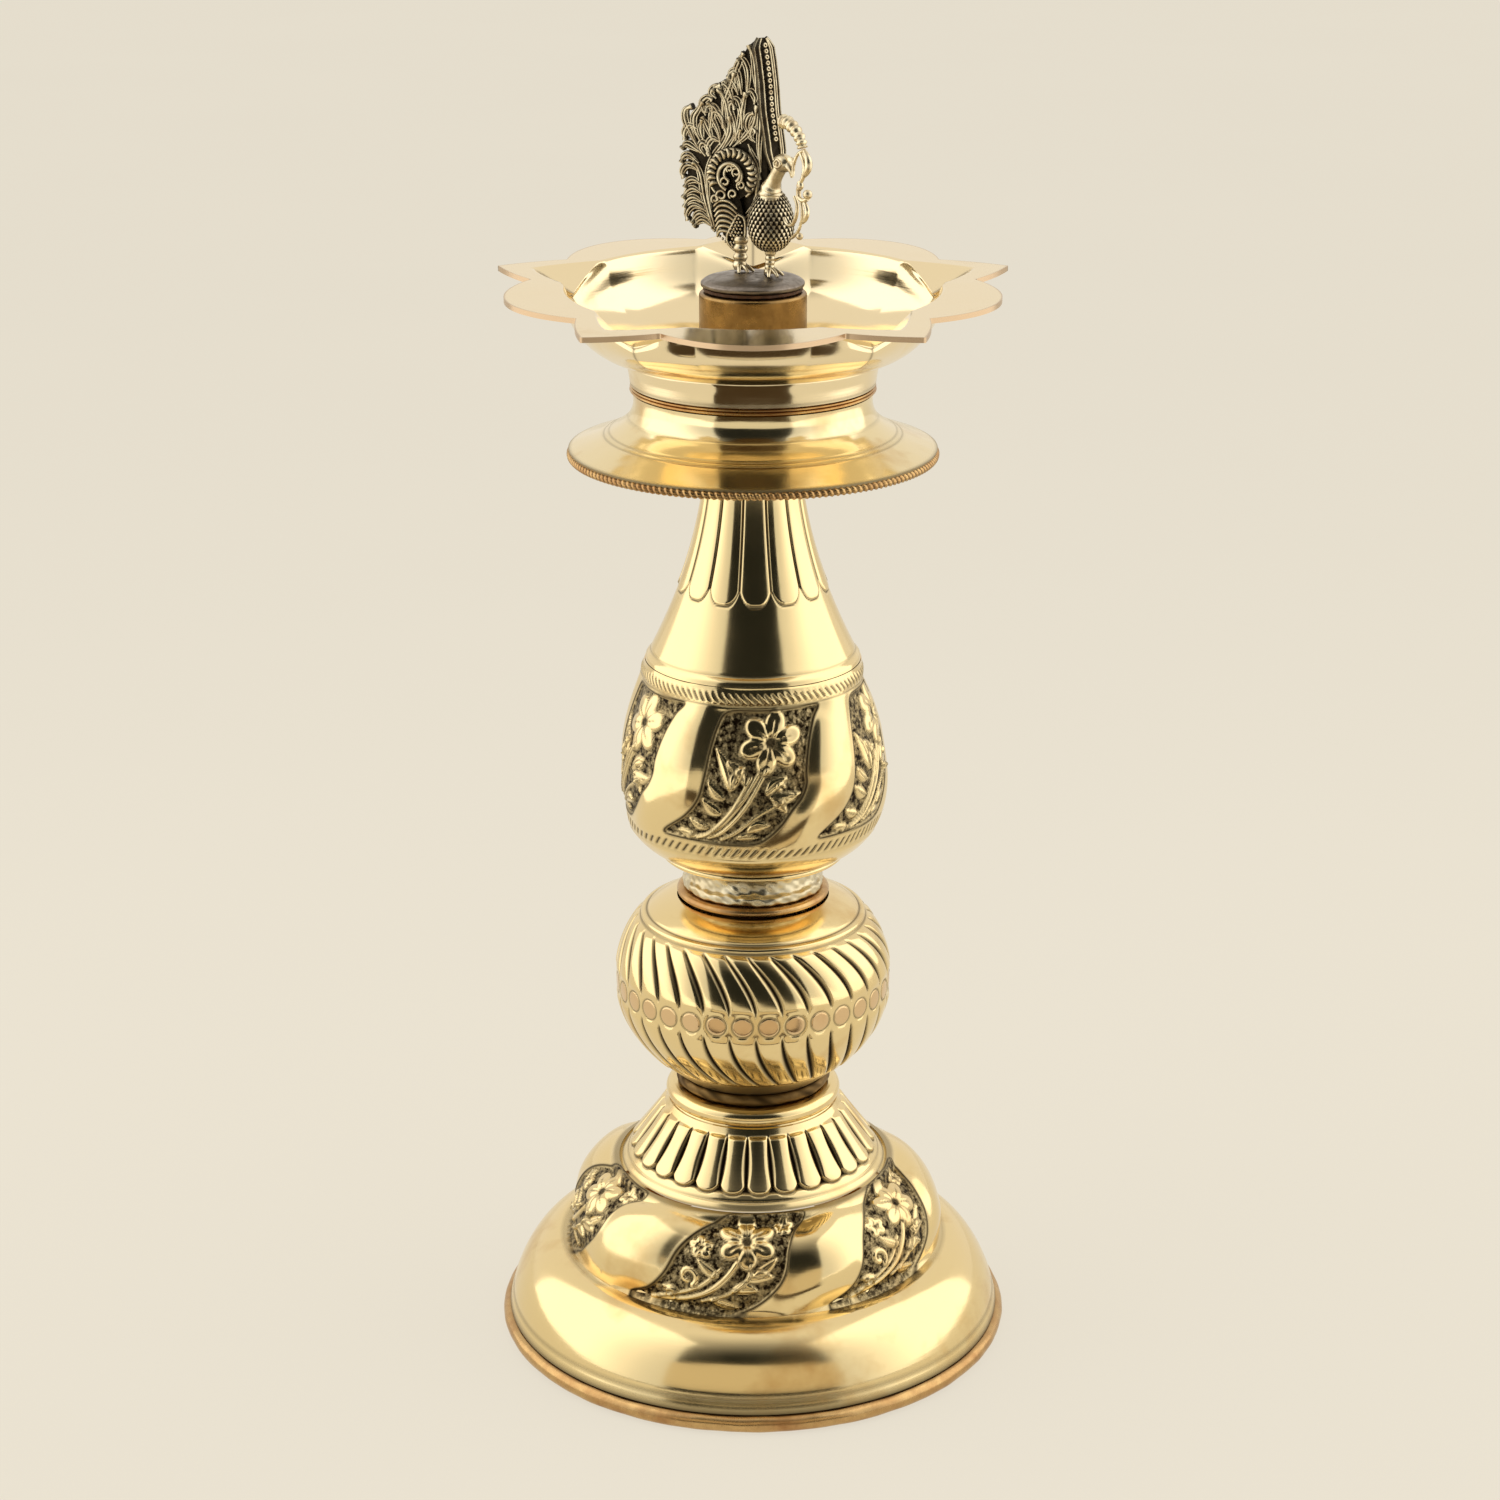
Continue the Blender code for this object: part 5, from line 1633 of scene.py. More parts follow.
@dataclass
class Finial(SubAssembly):
    """Cast peacock on its disc, chased all over, dark in every hollow, with painted shade on its
    downward faces and along the sides of its wires.
    """

    heading_deg: float = 55.0
    perch: float = 286.9
    centre: Point = (3.7, -3.0)
    root: Point = (3.2, 3.7)
    tail_thickness: float = 1.8
    scales_round: int = 26
    scale_height: float = 1.0

    body = "finial"

    def build(self) -> None:
        """Build and dress every piece of the finial."""
        self.add(self.disc(), Finish.TARNISHED, "tarnished_brass", "finial_disc")
        self.add(threaded_stud("finial_screw_stud", 3.0, 271.0, 283.1), Finish.THREADED,
                 "threaded_brass", "finial_stud")
        near, far = (-0.94, 0.342), (0.0, 1.0)
        for make, given, node in (
                (self.egg, (), "peacock_body"),
                (self.head, (), "peacock_body"),
                (self.leg, ("beaded_leg_near", (-3.3, 2.6), 8.2, True), "peacock_leg_right"),
                (self.leg, ("clawed_leg_far", (4.0, -3.2), 6.2, False), "peacock_leg_left"),
                (self.tail_half, ("filigree_tail_near", near), "tail_fan_right"),
                (self.tail_half, ("filigree_tail_far", far), "tail_fan_left"),
                (self.wing, ("scroll_wing_near", near, -1.0), "peacock_wing_right"),
                (self.wing, ("scroll_wing_far", far, 1.0), "peacock_wing_left"),
                (self.spine_leaf, (), "tail_spine"),
                (self.crest, (), "peacock_crest"),
                (self.vine, (), "beak_vine")):
            self.add(make(*given), Finish.ANTIQUE, "antique_brass", node)

    @property
    def forward(self) -> Array:
        """Way the bird faces."""
        angle = math.radians(self.heading_deg)
        return np.array([math.cos(angle), -math.sin(angle), 0.0])

    def ahead(self, places: Sequence[Point], side: float = 0.0) -> Array:
        """Points in the bird's own upright middle plane.

        Args:
            places: Distance ahead of the body's middle and height over the disc.
            side: Distance to the bird's right.

        Returns:
            The points in space.
        """
        flat = np.array(places, float)
        right = np.array([self.forward[1], -self.forward[0], 0.0])
        base = np.array([self.centre[0], self.centre[1], self.perch])
        return (base + flat[:, :1] * self.forward + right * side
                + flat[:, 1:2] * np.array([0.0, 0.0, 1.0]))

    def fanned(self, places: Sequence[Point], along: Point, lift: float) -> Array:
        """Points in the plane of one tail half.

        Args:
            places: Distance back from the tail's root and height over the disc.
            along: Way the half stands back from the root.
            lift: Distance out of the plane.

        Returns:
            The points in space.
        """
        flat = np.array(places, float)
        result = np.empty((len(flat), 3))
        result[:, 0] = self.root[0] + along[0] * flat[:, 0] + along[1] * lift
        result[:, 1] = self.root[1] + along[1] * flat[:, 0] - along[0] * lift
        result[:, 2] = self.perch + flat[:, 1]
        return result

    def disc(self) -> Piece:
        """Domed disc with worn, greyish tarnish.

        Returns:
            The disc.
        """
        dome = arc((0.0, 284.2), (12.9, 2.4), 0, 90, 40)
        edge = resample(np.array([(12.6, 283.4), (12.9, 283.7), (12.9, 284.2)]), 0.3)
        section = np.vstack([[(0.0, 283.4)], edge, dome[1:]])
        item = spin_section("domed_finial_disc", section, 240)

        def worn(at: Spots) -> Marks:
            """Worn hollows and the line at the edge.

            Args:
                at: Where the points lie.

            Returns:
                Height and marks.
            """
            azimuth, path, _ = at
            waves = np.sin(3 * azimuth + 0.5 * path) + 0.7 * np.sin(7 * azimuth - path)
            return {"height": 0.05 * waves - 0.06 * ridge(path - 1.6, 0.3),
                    "patina_and_shade": 0.35 * unit(waves) + 0.6 * ridge(path - 0.2, 0.4)}

        outer = np.vstack([edge, dome[1:-1]])
        chase(item, outer, 2.0, worn)
        return item

    def egg(self) -> Piece:
        """Egg-shaped body covered with rows of pointed scales.

        Returns:
            The body.
        """
        line = arc((0.0, 300.3), (5.4, 8.0), -88, 88, 150)
        line[:, 0] *= 1.04 - 0.17 * (line[:, 1] - 300.3) / 8.0
        section = np.vstack([[(0.0, line[0, 1])], line, [(0.0, line[-1, 1])]])
        item = spin_section("scaled_peacock_body", section, 360)
        total = float(lengths(line)[-1])

        def scales(at: Spots) -> Marks:
            """Rows of pointed scales, each row half a scale round from the next.

            Args:
                at: Where the points lie.

            Returns:
                Height and marks.
            """
            azimuth, path, _ = at
            row = (total - path) / self.scale_height
            index = np.floor(row)
            down = row - index
            turns = azimuth / math.tau * self.scales_round + 0.5 * (index % 2)
            off = np.abs((turns + 0.5) % 1.0 - 0.5) * 2.0
            point = unit(1.0 - off - 0.55 * down)
            edge = step_up(point, 0.0, 0.35)
            height = 0.42 * edge * (0.45 + 0.55 * down)
            return {"height": height - 0.2, "patina_and_shade": 0.97 * (1.0 - step_up(point, 0.18, 0.72))}

        chase(item, line, 3.0, scales)
        corners = corners_of(item)
        corners[:, 0] += self.centre[0] + 0.7
        corners[:, 1] += self.centre[1]
        move_corners(item, corners)
        return item

    def ball(self, place: Array, radius: float, stretch: Array | None = None,
             rings: int = 10) -> Piece:
        """A cast knob, stretched along a way and a little flattened at its poles.

        Args:
            place: Its middle.
            radius: Its radius.
            stretch: Way and amount that it is drawn out, or None.
            rings: Rings of faces.

        Returns:
            The knob.
        """
        clear_selection()
        bpy.ops.mesh.primitive_uv_sphere_add(segments=rings * 2, ring_count=rings,
                                             radius=radius * MM)
        item = bpy.context.object
        corners = corners_of(item)
        if stretch is not None:
            size = float(np.linalg.norm(stretch))
            way = stretch / size
            corners += np.outer(corners @ way, way) * (size - 1.0)
        corners *= 1.0 - 0.06 * ridge(np.linalg.norm(corners, axis=1)[:, None] - radius, 0.1)
        move_corners(item, corners + place)
        bpy.ops.object.shade_smooth()
        return item

    def head(self) -> Piece:
        """Neck with its collar rings, head, beak and almond eyes.

        Returns:
            The neck and head.
        """
        neck_line = smooth_line(self.ahead([(1.0, 18.4), (1.3, 21.0), (3.4, 24.4), (5.6, 27.0)]),
                                8)
        t = np.linspace(0.0, 1.0, len(neck_line))
        neck_radius = 3.0 - 1.3 * step_up(t, 0.0, 0.7)
        neck_radius = neck_radius + 0.35 * ridge(t - 0.36, 0.035) + 0.35 * ridge(t - 0.2, 0.035)
        beak_line = smooth_line(self.ahead([(7.4, 27.9), (8.7, 27.3), (9.7, 26.2), (9.9, 24.7)]),
                                6)
        beak_radius = np.linspace(1.5, 0.3, len(beak_line))
        strokes = [(neck_line, neck_radius), (beak_line, beak_radius)]
        for side in (-1.0, 1.0):
            lid = self.ahead([(5.4, 27.9), (6.8, 28.9), (8.2, 28.0), (7.4, 27.1), (5.8, 27.1),
                              (5.4, 27.9)], side * 2.15)
            strokes.append((smooth_line(lid, 4), np.full(21, 0.28)))
        item = cast_strokes("collared_neck_and_head", strokes, 4)
        head = self.ball(self.ahead([(6.3, 27.8)])[0], 2.4, self.forward * 1.15, 14)
        eyes = [self.ball(self.ahead([(6.8, 27.9)], side * 2.05)[0], 0.62, None, 6)
                for side in (-1.0, 1.0)]
        join_into(item, [head, *eyes])
        # Painted shade on the downward faces of neck, head, beak and eyes.
        self.paint_underside_shade(item)
        return item

    def paint_underside_shade(self, item: Piece, amount: float = 0.7) -> None:
        """Paint shade in the patina colour where a piece's faces look down, and faintly where they
        look sideways.
        """
        mark(item, "patina_and_shade", amount * unit(0.15 - 0.8 * self.normals(item)[:, 2]))

    def normals(self, item: Piece) -> Array:
        """Way that each corner point looks.

        Args:
            item: The piece.

        Returns:
            One row for each point.
        """
        values = np.empty(len(item.data.vertices) * 3, np.float32)
        item.data.vertices.foreach_get("normal", values)
        return values.reshape(-1, 3)

    def on_plate(self, name: str, strokes: list[tuple[Array, Array]], rim: Array, wall: float,
                 outward: Array) -> Piece:
        """Wires cast on a thin plate, dark with patina and painted shade; on the wires the painted
        shade grows with their angle to the plate, so that only their tops stay bright.

        Args:
            name: Name of the piece.
            strokes: The wires, as for cast_strokes.
            rim: Corner points of the plate's edge.
            wall: Thickness of the plate.
            outward: Way that stands square on the plate.

        Returns:
            The piece.
        """
        item = cast_strokes(name, strokes, 2)
        # Painted shade on the wires: the further a face turns from square to the plate, the
        # darker.
        facing = np.abs(self.normals(item) @ outward)
        own = 0.97 * (1.0 - step_up(facing, 0.58, 0.93))
        clear_selection()
        bpy.ops.mesh.primitive_circle_add(vertices=len(rim), radius=1.0, fill_type="NGON")
        plate = bpy.context.object
        move_corners(plate, rim)
        thick = plate.modifiers.new("wall", "SOLIDIFY")
        thick.thickness = wall * MM
        thick.offset = 0.0
        bpy.ops.object.modifier_apply(modifier=thick.name)
        join_into(item, [plate])
        # The plate is painted dark all over: patina and painted shade in the gaps between the
        # wires.
        mark(item, "patina_and_shade", np.concatenate([own, np.full(len(item.data.vertices) - len(own),
                                                          0.95)]))
        return item

    def leg(self, name: str, foot: Point, top: float, beaded: bool) -> Piece:
        """One leg with its claws spread on the disc.

        Args:
            name: Name of the piece.
            foot: Where it stands.
            top: Height of its top over the disc.
            beaded: True for the leg with the beaded shank.

        Returns:
            The leg.
        """
        base = np.array([foot[0], foot[1], self.perch])
        heights = np.linspace(0.1, top, 40)
        shank = base + np.stack([0.05 * heights, 0.02 * heights, heights], axis=1)
        if beaded:
            radii = 1.35 + 0.45 * np.abs(np.sin(heights * math.pi / 2.1))
        else:
            radii = 1.05 + 0.16 * np.abs(np.sin(heights * math.pi / 1.1)) + 0.5 * (
                step_up(heights, top - 1.8, top))
        strokes = [(shank, radii)]
        for turn in (-38.0, 0.0, 38.0, 180.0):
            angle = math.radians(self.heading_deg - turn)
            way = np.array([math.cos(angle), -math.sin(angle), 0.0])
            reach = 3.6 if turn != 180.0 else 2.0
            toe = [base + way * d + (0.0, 0.0, h)
                   for d, h in ((0.3, 1.3), (reach * 0.45, 1.0), (reach * 0.8, 0.35),
                                (reach, -0.25))]
            strokes.append((smooth_line(toe, 4), np.linspace(0.75, 0.3, 13)))
        item = cast_strokes(name, strokes, 3)
        # Painted shade on the downward faces of the shank and claws.
        self.paint_underside_shade(item)
        return item

    def tail_half(self, name: str, along: Point) -> Piece:
        """One filigree half of the tail: curled wires on both sides of a thin plate, dark with
        patina and painted shade.

        Args:
            name: Name of the piece.
            along: Way the half stands back from the root.

        Returns:
            The tail half.
        """
        strokes: list[tuple[Array, Array]] = []
        half = self.tail_thickness / 2
        for plume in PLUMES:
            line = self.spread_out(smooth_line(plume, 6))
            count = len(line)
            t = np.linspace(0.0, 1.0, count)
            across = np.gradient(line, axis=0)
            across /= np.linalg.norm(across, axis=1)[:, None]
            across = np.stack([-across[:, 1], across[:, 0]], axis=1)
            for side in (-1.0, 1.0):
                lift = side * (half - 0.35)
                main = 0.36 + 0.42 * ridge(t - 0.97, 0.09) + 0.08 * t
                strokes.append((self.fanned(line, along, lift), main))
                for offset in (-0.78, 0.78):
                    spread = line + across * offset * np.sin(math.pi * np.clip(t, 0.0, 0.92))[
                        :, None]
                    strokes.append((self.fanned(spread[:-2], along, lift * 0.8),
                                    np.full(count - 2, 0.27)))
        outline = [(-0.3, 18.6), (6.0, 9.4), (9.0, 8.9), (13.0, 9.6), (16.5, 11.0), (19.3, 14.0),
                   (19.6, 20.0), (19.4, 27.0), (18.2, 33.0), (17.0, 37.2), (13.0, 40.4),
                   (9.6, 43.2), (7.0, 46.0), (5.0, 49.2), (3.4, 53.2), (1.2, 54.4), (-0.3, 44.0)]
        loop = self.spread_out(smooth_line(outline, 4, closed=True))
        return self.on_plate(name, strokes, self.fanned(loop, along, 0.0), 0.6,
                             np.array([along[1], -along[0], 0.0]))

    @staticmethod
    def spread_out(line: Array) -> Array:
        """Carry the tail's outer plumes a little further up and back.

        Args:
            line: Points of the tail half, laid flat.

        Returns:
            The moved points.
        """
        x, y = line.T
        high, wide = step_up(y, 32.0, 40.0), step_up(x, 14.0, 21.0)
        low = 1.0 - step_up(y, 11.0, 17.0)
        return np.stack([x + 1.5 * high * step_up(x, 1.5, 5.0) + 1.0 * wide * (1.0 - low),
                         y + 1.1 * high], axis=1)

    def wing(self, name: str, along: Point, side: float) -> Piece:
        """Scroll wing: ribbed rim, inner roll and curls, ridged lower feathers, beaded shoulder.

        Args:
            name: Name of the piece.
            along: Way its tail half stands back from the root.
            side: -1 for the near side, 1 for the far side.

        Returns:
            The wing.
        """
        base_lift = side * 2.0
        middle = np.array([8.2, 23.0])
        strokes: list[tuple[Array, Array]] = []
        for k in range(17):
            angle = math.radians(-28.0 + 15.2 * k)
            way = np.array([math.cos(angle), math.sin(angle)])
            bow = np.array([-way[1], way[0]]) * 0.45
            rib = np.array([middle + way * 4.3, middle + way * 5.4 + bow, middle + way * 6.5])
            line = smooth_line(rib, 4)
            t = np.linspace(0.0, 1.0, len(line))
            width = 0.72 * np.sin(math.pi * (0.12 + 0.76 * t)) ** 0.6
            strokes.append((self.fanned(line, along, base_lift), width))
        turn = np.radians(np.linspace(-45.0, 235.0, 36))
        rim = around(middle, 6.3, turn)
        strokes.append((self.fanned(rim, along, base_lift * 0.8), np.full(36, 0.45)))
        for radius, start, sweep, size in ((3.9, -70.0, 300.0, 0.55), (3.0, 230.0, -300.0, 0.42)):
            angle = np.radians(start + sweep * np.linspace(0.0, 1.0, 40))
            shrink = radius * (1.0 - 0.5 * np.linspace(0.0, 1.0, 40))
            line = around(middle, shrink, angle)
            strokes.append((self.fanned(line, along, base_lift * 1.15), np.full(40, size)))
        for centre, radius in (((9.8, 21.3), 1.3), ((6.8, 23.8), 1.2), ((5.6, 20.6), 1.2),
                               ((10.8, 17.9), 1.5), ((7.8, 18.4), 1.2), ((8.6, 24.6), 0.9),
                               ((12.4, 17.0), 1.1)):
            angle = np.radians(np.linspace(-60.0, 330.0, 22))
            shrink = radius * (1.0 - 0.6 * np.linspace(0.0, 1.0, 22))
            line = around(centre, shrink, angle)
            strokes.append((self.fanned(line, along, base_lift * 1.2), np.linspace(0.34, 0.4, 22)))
        for k in range(7):
            low = 15.6 - 1.25 * k
            feather = [(13.1 - 0.15 * k, low - 0.6), (11.4, low + 0.9), (9.0, low + 0.8),
                       (6.9 - 0.1 * k, low - 0.9)]
            line = smooth_line(feather, 5)
            t = np.linspace(0.0, 1.0, len(line))
            strokes.append((self.fanned(line, along, base_lift * (0.8 + 0.2 * t.mean())),
                            0.5 * np.sin(math.pi * (0.1 + 0.8 * t)) ** 0.5))
        shoulder = [(6.6, 13.4), (5.0, 12.4), (4.7, 9.5), (5.2, 6.4), (7.4, 4.6), (9.6, 7.2),
                    (8.0, 11.0), (6.6, 13.4)]
        line = smooth_line(shoulder, 5)
        strokes.append((self.fanned(line, along, base_lift * 0.95), np.full(len(line), 0.42)))
        for row in range(9):
            for column in range(5):
                x = 5.4 + 0.85 * column + 0.42 * (row % 2)
                y = 5.6 + 0.85 * row
                if (x - 6.9) ** 2 / 4.2 + (y - 8.8) ** 2 / 15.0 < 1.0:
                    strokes.append((self.fanned([(x, y - 0.28), (x, y), (x, y + 0.28)], along,
                                                base_lift * 1.12), np.array([0.25, 0.42, 0.25])))
        for k in range(9):
            place = np.array([13.6 - 0.72 * k, 9.6 - 0.62 * k])
            strokes.append((self.fanned([place - (0.25, 0.0), place, place + (0.25, 0.0)], along,
                                        base_lift * 0.9), np.array([0.22, 0.42, 0.22])))
        turn = np.radians(np.linspace(-40.0, 220.0, 30))
        top = around(middle, 6.2, turn)
        loop = np.vstack([top, [(12.6, 13.0), (10.5, 8.0), (7.4, 5.0), (5.4, 7.0), (5.2, 13.0)]])
        return self.on_plate(name, strokes, self.fanned(loop, along, base_lift * 0.62), 1.0,
                             np.array([along[1], -along[0], 0.0]))

    def spine_leaf(self) -> Piece:
        """Tall middle leaf of the tail with its ribs and its row of rings.

        Returns:
            The leaf.
        """
        right = np.array([self.forward[1], -self.forward[0], 0.0])
        foot = (np.array([self.root[0], self.root[1], self.perch]) + self.forward * 1.9)
        sway = np.array([(22.0, 2.6), (29.0, 1.6), (31.9, 1.2), (38.8, 0.0), (45.8, -0.6),
                         (51.3, -1.4), (57.0, -2.5)])

        def at(side: float, height: float, out: float) -> Array:
            """A point of the leaf.

            Args:
                side: Distance across it.
                height: Height over the disc.
                out: Distance in front of it.

            Returns:
                The point in space.
            """
            shift = side + float(np.interp(height, sway[:, 0], sway[:, 1]))
            return foot - right * shift + self.forward * out + (0.0, 0.0, height)

        def half_width(height: float) -> float:
            """Half width of the leaf.

            Args:
                height: Height over the disc.

            Returns:
                The half width there.
            """
            return 2.8 * min(1.0, 1.9 * max(0.0, 57.0 - height) ** 0.5 / 3.2,
                             0.45 + 0.55 * max(0.0, height - 23.0) / 6.0)

        heights = np.linspace(23.0, 56.5, 44)
        strokes: list[tuple[Array, Array]] = []
        for share, size in ((-1.0, 0.46), (-0.62, 0.34), (0.42, 0.34), (0.72, 0.3), (1.0, 0.5)):
            line = np.array([at(share * half_width(h), h, 0.6 - 0.9 * share ** 2)
                             for h in heights])
            strokes.append((line, np.full(44, size)))
        for k in range(17):
            height = 32.2 + 1.42 * k
            turn = np.linspace(0.0, math.tau, 13)
            ring = np.array([at(-0.35 + 0.42 * math.cos(a), height + 0.42 * math.sin(a), 1.0)
                             for a in turn])
            strokes.append((ring, np.full(13, 0.3)))
        core = np.array([at(0.0, h, -1.6) for h in np.linspace(9.0, 34.0, 12)])
        strokes.append((core, np.linspace(1.3, 1.7, 12)))
        rims = [at(half_width(h), h, -0.3) for h in heights]
        rims += [at(-half_width(h), h, -0.3) for h in heights[::-1]]
        return self.on_plate("ribbed_tail_leaf", strokes, np.array(rims), 1.2, self.forward)

    def crest(self) -> Piece:
        """Curled crest roll above the head, with its ribs.

        Returns:
            The crest.
        """
        roll = smooth_line(self.ahead([(5.6, 37.8), (8.4, 37.6), (11.2, 36.2), (13.4, 34.2),
                                       (14.2, 32.4)]), 10)
        t = np.linspace(0.0, 1.0, len(roll))
        radii = 1.35 + 0.5 * np.abs(np.sin(t * math.pi * 6.5)) - 0.5 * t
        item = cast_strokes("curled_crest_roll", [(roll, radii)], 5)
        gaps = np.linalg.norm(corners_of(item)[:, None, :] - roll[None, ::2, :], axis=2)
        mark(item, "patina_and_shade", 0.9 * (1.0 - step_up(gaps.min(axis=1), 0.75, 1.25)))
        return item

    def vine(self) -> Piece:
        """Scroll that hangs from the beak: bud, knot, ball, leaf and hook.

        Returns:
            The scroll.
        """
        parts = [
            ([(10.3, 25.2), (10.7, 28.1), (12.3, 30.6), (14.6, 31.8)], 0.42, 0.4),
            ([(14.8, 32.0), (16.6, 29.6), (16.4, 27.4), (14.8, 25.6)], 0.95, 0.45),
            ([(13.4, 31.0), (15.0, 28.6), (14.6, 25.6), (13.0, 23.4)], 0.55, 0.4),
            ([(13.0, 24.2), (13.6, 23.2), (12.6, 22.2)], 0.75, 0.6),
            ([(12.6, 22.4), (12.9, 20.4), (14.6, 19.8), (16.6, 20.6)], 0.6, 0.6),
            ([(14.4, 20.2), (16.2, 18.0), (15.8, 15.8), (14.4, 14.4)], 0.62, 0.35),
            ([(13.4, 20.0), (14.2, 17.6), (14.2, 15.4), (13.4, 13.6)], 0.45, 0.35),
            ([(6.7, 14.6), (8.0, 13.2), (10.0, 13.4), (11.5, 15.2), (12.2, 18.2), (11.0, 20.4)],
             0.5, 0.42),
            ([(13.6, 13.8), (12.4, 12.0), (10.6, 10.6), (9.2, 9.9)], 0.45, 0.35),
        ]
        strokes = []
        for places, thick, thin in parts:
            line = smooth_line(self.ahead(places), 6)
            t = np.linspace(0.0, 1.0, len(line))
            strokes.append((line, thin + (thick - thin) * np.sin(math.pi * t) ** 0.8))
        item = cast_strokes("beak_scroll_vine", strokes, 3)
        knobs = [self.ball(self.ahead([place])[0], radius, None, 8)
                 for place, radius in (((16.4, 21.5), 1.25), ((13.2, 11.0), 0.95),
                                       ((13.2, 23.2), 0.9))]
        join_into(item, knobs)
        # Weaker painted shade on the scroll's downward faces.
        self.paint_underside_shade(item, 0.3)
        return item


# Studio

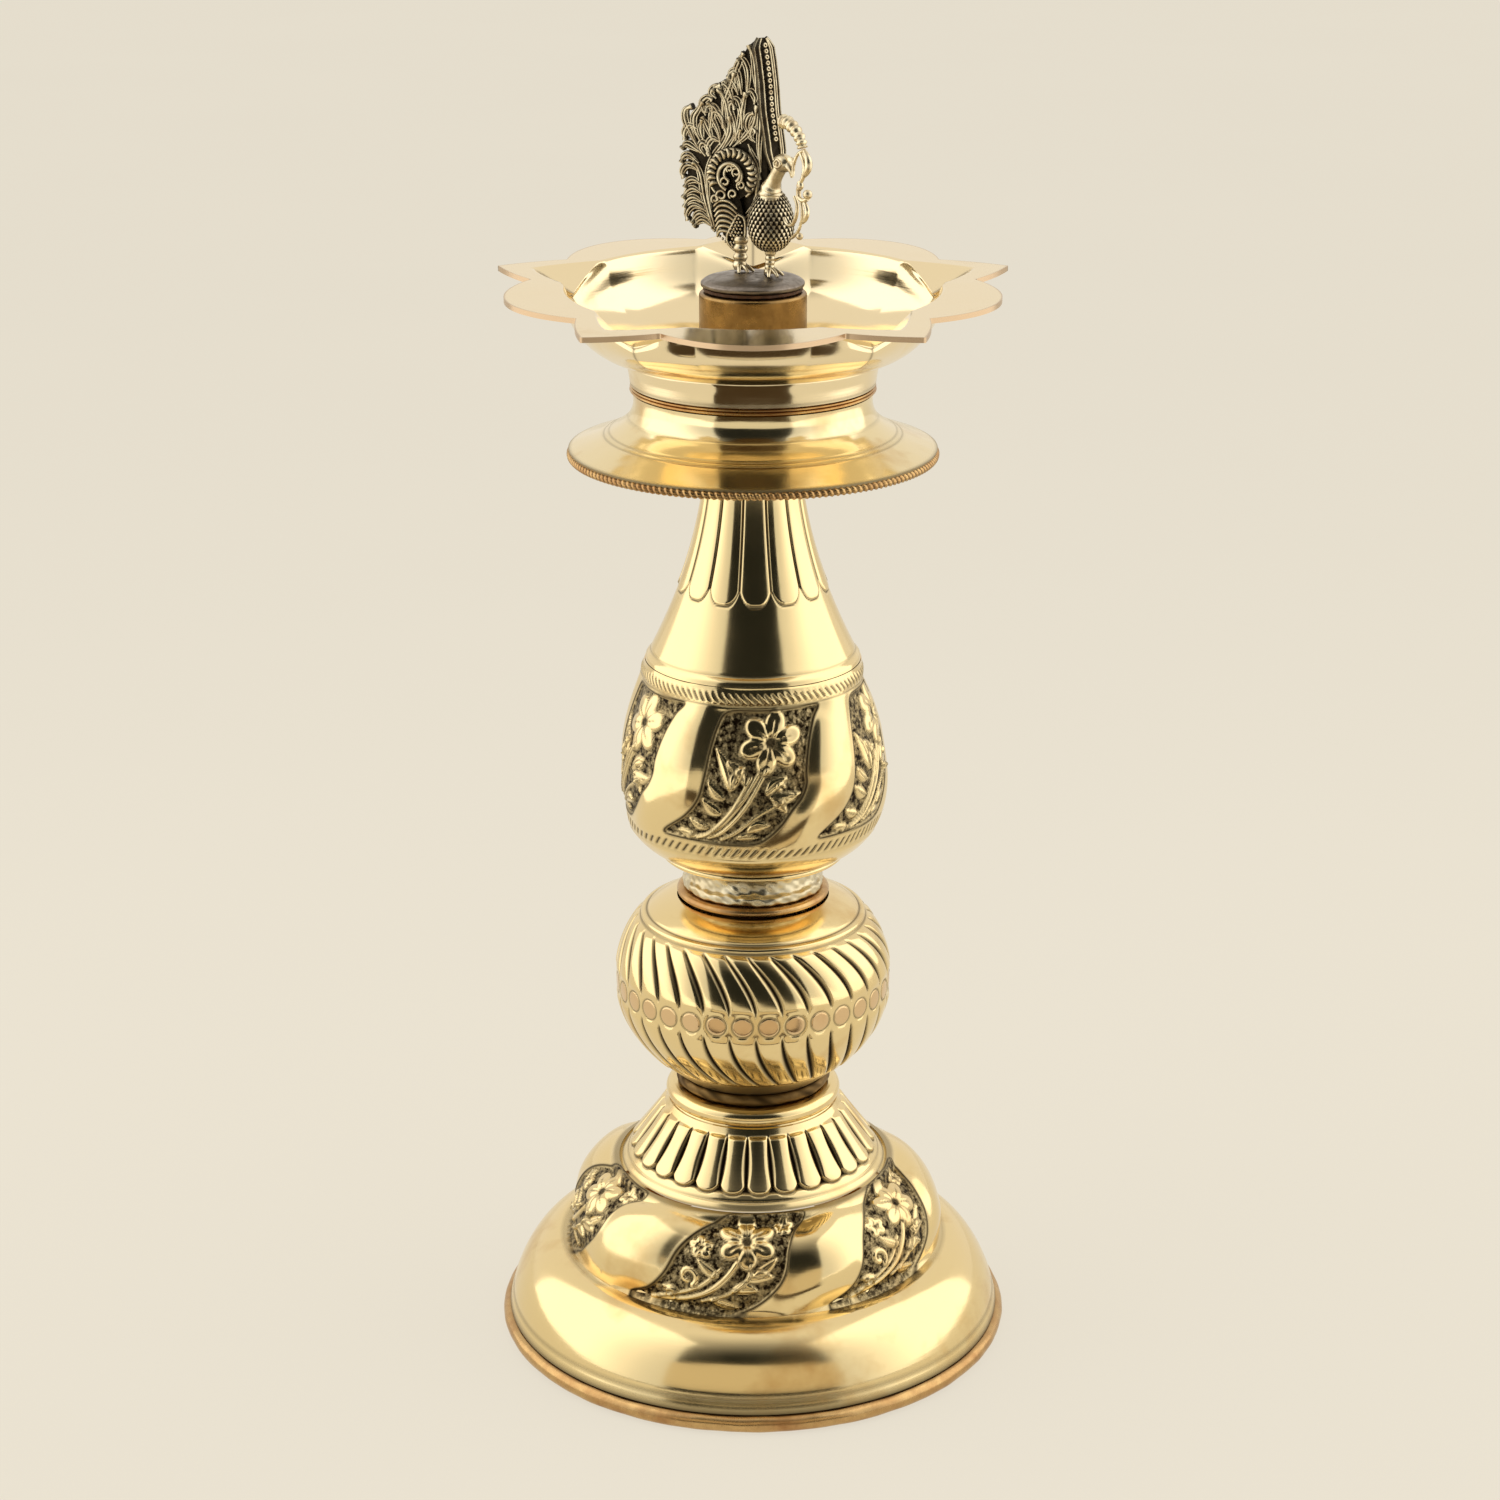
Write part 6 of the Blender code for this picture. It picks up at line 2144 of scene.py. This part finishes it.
@dataclass(frozen=True)
class Studio:
    """Pale floor, two tall softboxes with a dark gap between them, flag, card and camera."""

    background: str = "#E9E2D2"
    gap_deg: float = 37.0
    far_deg: float = 125.0
    light_distance: float = 0.75
    light_power: float = 2.9
    light_level: float = 0.56
    light_height: float = 1.08
    camera_place: tuple[float, float, float] = (0.0, -0.783, 0.429)
    camera_pitch_deg: float = 18.83
    lens: float = 76.46
    shift: float = -0.002

    def build(self) -> None:
        """Set up floor, surroundings, lights and camera."""
        self.floor()
        self.surroundings()
        for side in (-1, 1):
            self.softbox(side)
        self.flag()
        self.card()
        self.camera()

    def floor(self) -> None:
        """A large pale floor."""
        clear_selection()
        bpy.ops.mesh.primitive_grid_add(x_subdivisions=40, y_subdivisions=40, size=24.0,
                                        location=(0.0, 0.0, 0.0))
        item = bpy.context.object
        item.name = "studio_floor"
        material, node = empty_material("matt_backdrop_paper")
        place = node("TexCoord").outputs["Object"]
        fibre = node("TexNoise", {"Vector": place, "Scale": 3.0})
        tone = node("Mix", {
            0: fibre.outputs["Fac"], 6: linear("#6A665E"), 7: linear("#706C64")}, data_type="RGBA")
        shader = node("BsdfPrincipled", {
            "Base Color": tone.outputs[2], "Roughness": 0.95, "Specular IOR Level": 0.0,
            "Emission Color": linear(self.background), "Emission Strength": 0.835})
        node("OutputMaterial", {"Surface": shader.outputs["BSDF"]})
        item.data.materials.append(material)

    def surroundings(self) -> None:
        """Pale walls and ceiling behind the lamp, darker room in front of it."""
        world = bpy.data.worlds.new("studio_room")
        bpy.context.scene.world = world
        world.use_nodes = True
        world.node_tree.nodes.clear()
        node = partial(add_node, world.node_tree)
        way = node("TexCoord").outputs["Generated"]
        parts = node("SeparateXYZ", {0: way})
        front = node("MapRange", {
            "Value": parts.outputs["Y"], "From Min": -0.75, "From Max": -0.05, "To Min": 0.0,
            "To Max": 1.0}, interpolation_type="SMOOTHSTEP")
        colour = node("Mix", {
            0: front.outputs["Result"], 6: linear("#262724"), 7: linear("#F4EEE4")},
            data_type="RGBA")
        shader = node("Background", {"Color": colour.outputs[2], "Strength": 1.0})
        node("OutputWorld", {"Surface": shader.outputs["Background"]})

    def softbox(self, side: int) -> None:
        """One tall softbox beside the lamp.

        Args:
            side: -1 for the left one, 1 for the right one.
        """
        near, far = (Vector((side * math.sin(turn), -math.cos(turn), 0.0)) * self.light_distance
                     for turn in (math.radians(self.gap_deg), math.radians(self.far_deg)))
        middle = (near + far) / 2 + Vector((0.0, 0.0, self.light_level))
        data = bpy.data.lights.new(f"softbox_{'left' if side < 0 else 'right'}", "AREA")
        data.shape = "RECTANGLE"
        data.size = (far - near).length
        data.size_y = self.light_height
        data.energy = self.light_power
        data.color = (1.0, 0.975, 0.93)
        item = bpy.data.objects.new(data.name, data)
        bpy.context.scene.collection.objects.link(item)
        item.location = middle
        facing = Vector((-middle.x, -middle.y, 0.0))
        across = (far - near).normalized()
        normal = Vector((0, 0, 1)).cross(across)
        if normal.dot(facing) < 0:
            normal = -normal
        item.rotation_euler = normal.to_track_quat("-Z", "Y").to_euler()
        item.visible_camera = False

    def helper_panel(self, name: str, corners: Array, colour: str, glow: float) -> None:
        """A panel outside the picture that only the brass mirrors.

        Args:
            name: Name of the panel.
            corners: Its two by two corner points in metres, row by row.
            colour: Its colour.
            glow: How brightly it shines.
        """
        clear_selection()
        bpy.ops.mesh.primitive_grid_add(x_subdivisions=1, y_subdivisions=1, size=1.0)
        item = bpy.context.object
        item.name = name
        move_corners(item, corners / MM)
        material, node = empty_material(f"{name}_cloth")
        shader = node("Emission", {"Color": linear(colour), "Strength": glow})
        node("OutputMaterial", {"Surface": shader.outputs[0]})
        item.data.materials.append(material)
        item.visible_camera = False
        item.visible_diffuse = False
        item.visible_shadow = False

    def flag(self) -> None:
        """Dark cloth on the floor between the softboxes, in front of the picture's edge."""
        near, far = 0.19, 0.72
        sine, cosine = math.sin(math.radians(self.gap_deg)), math.cos(math.radians(self.gap_deg))
        corners = [(-sine * near, -cosine * near, 0.002), (sine * near, -cosine * near, 0.002),
                   (-sine * far, -cosine * far, 0.002), (sine * far, -cosine * far, 0.002)]
        self.helper_panel("floor_flag", np.array(corners), "#4A3B28", 0.9)

    def card(self) -> None:
        """Low pale card before the base, which lights the lower part of its flare."""
        corners = [(-0.1, -0.15, 0.024), (0.1, -0.15, 0.024), (-0.1, -0.15, 0.078),
                   (0.1, -0.15, 0.078)]
        self.helper_panel("low_card", np.array(corners), "#E6D6B8", 0.9)

    def camera(self) -> None:
        """The camera, looking a little down on the lamp."""
        data = bpy.data.cameras.new("camera")
        data.lens = self.lens
        data.sensor_width = 36.0
        data.shift_x = self.shift
        data.clip_end = 100.0
        item = bpy.data.objects.new("camera", data)
        bpy.context.scene.collection.objects.link(item)
        item.location = self.camera_place
        item.rotation_euler = (math.radians(90.0 - self.camera_pitch_deg), 0.0, 0.0)
        bpy.context.scene.camera = item


def main() -> None:
    """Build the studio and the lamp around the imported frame."""
    logging.basicConfig(level=logging.INFO, format="%(message)s")
    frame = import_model()
    bpy.context.scene.view_settings.view_transform = "Standard"
    Studio().build()
    polish = Polish()
    for section in (Base, NeckRing, Knop, SeatCollar, Shaft, Bowl, Washers, Finial):
        section(polish, frame).build()
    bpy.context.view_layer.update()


if __name__ == "__main__":
    main()
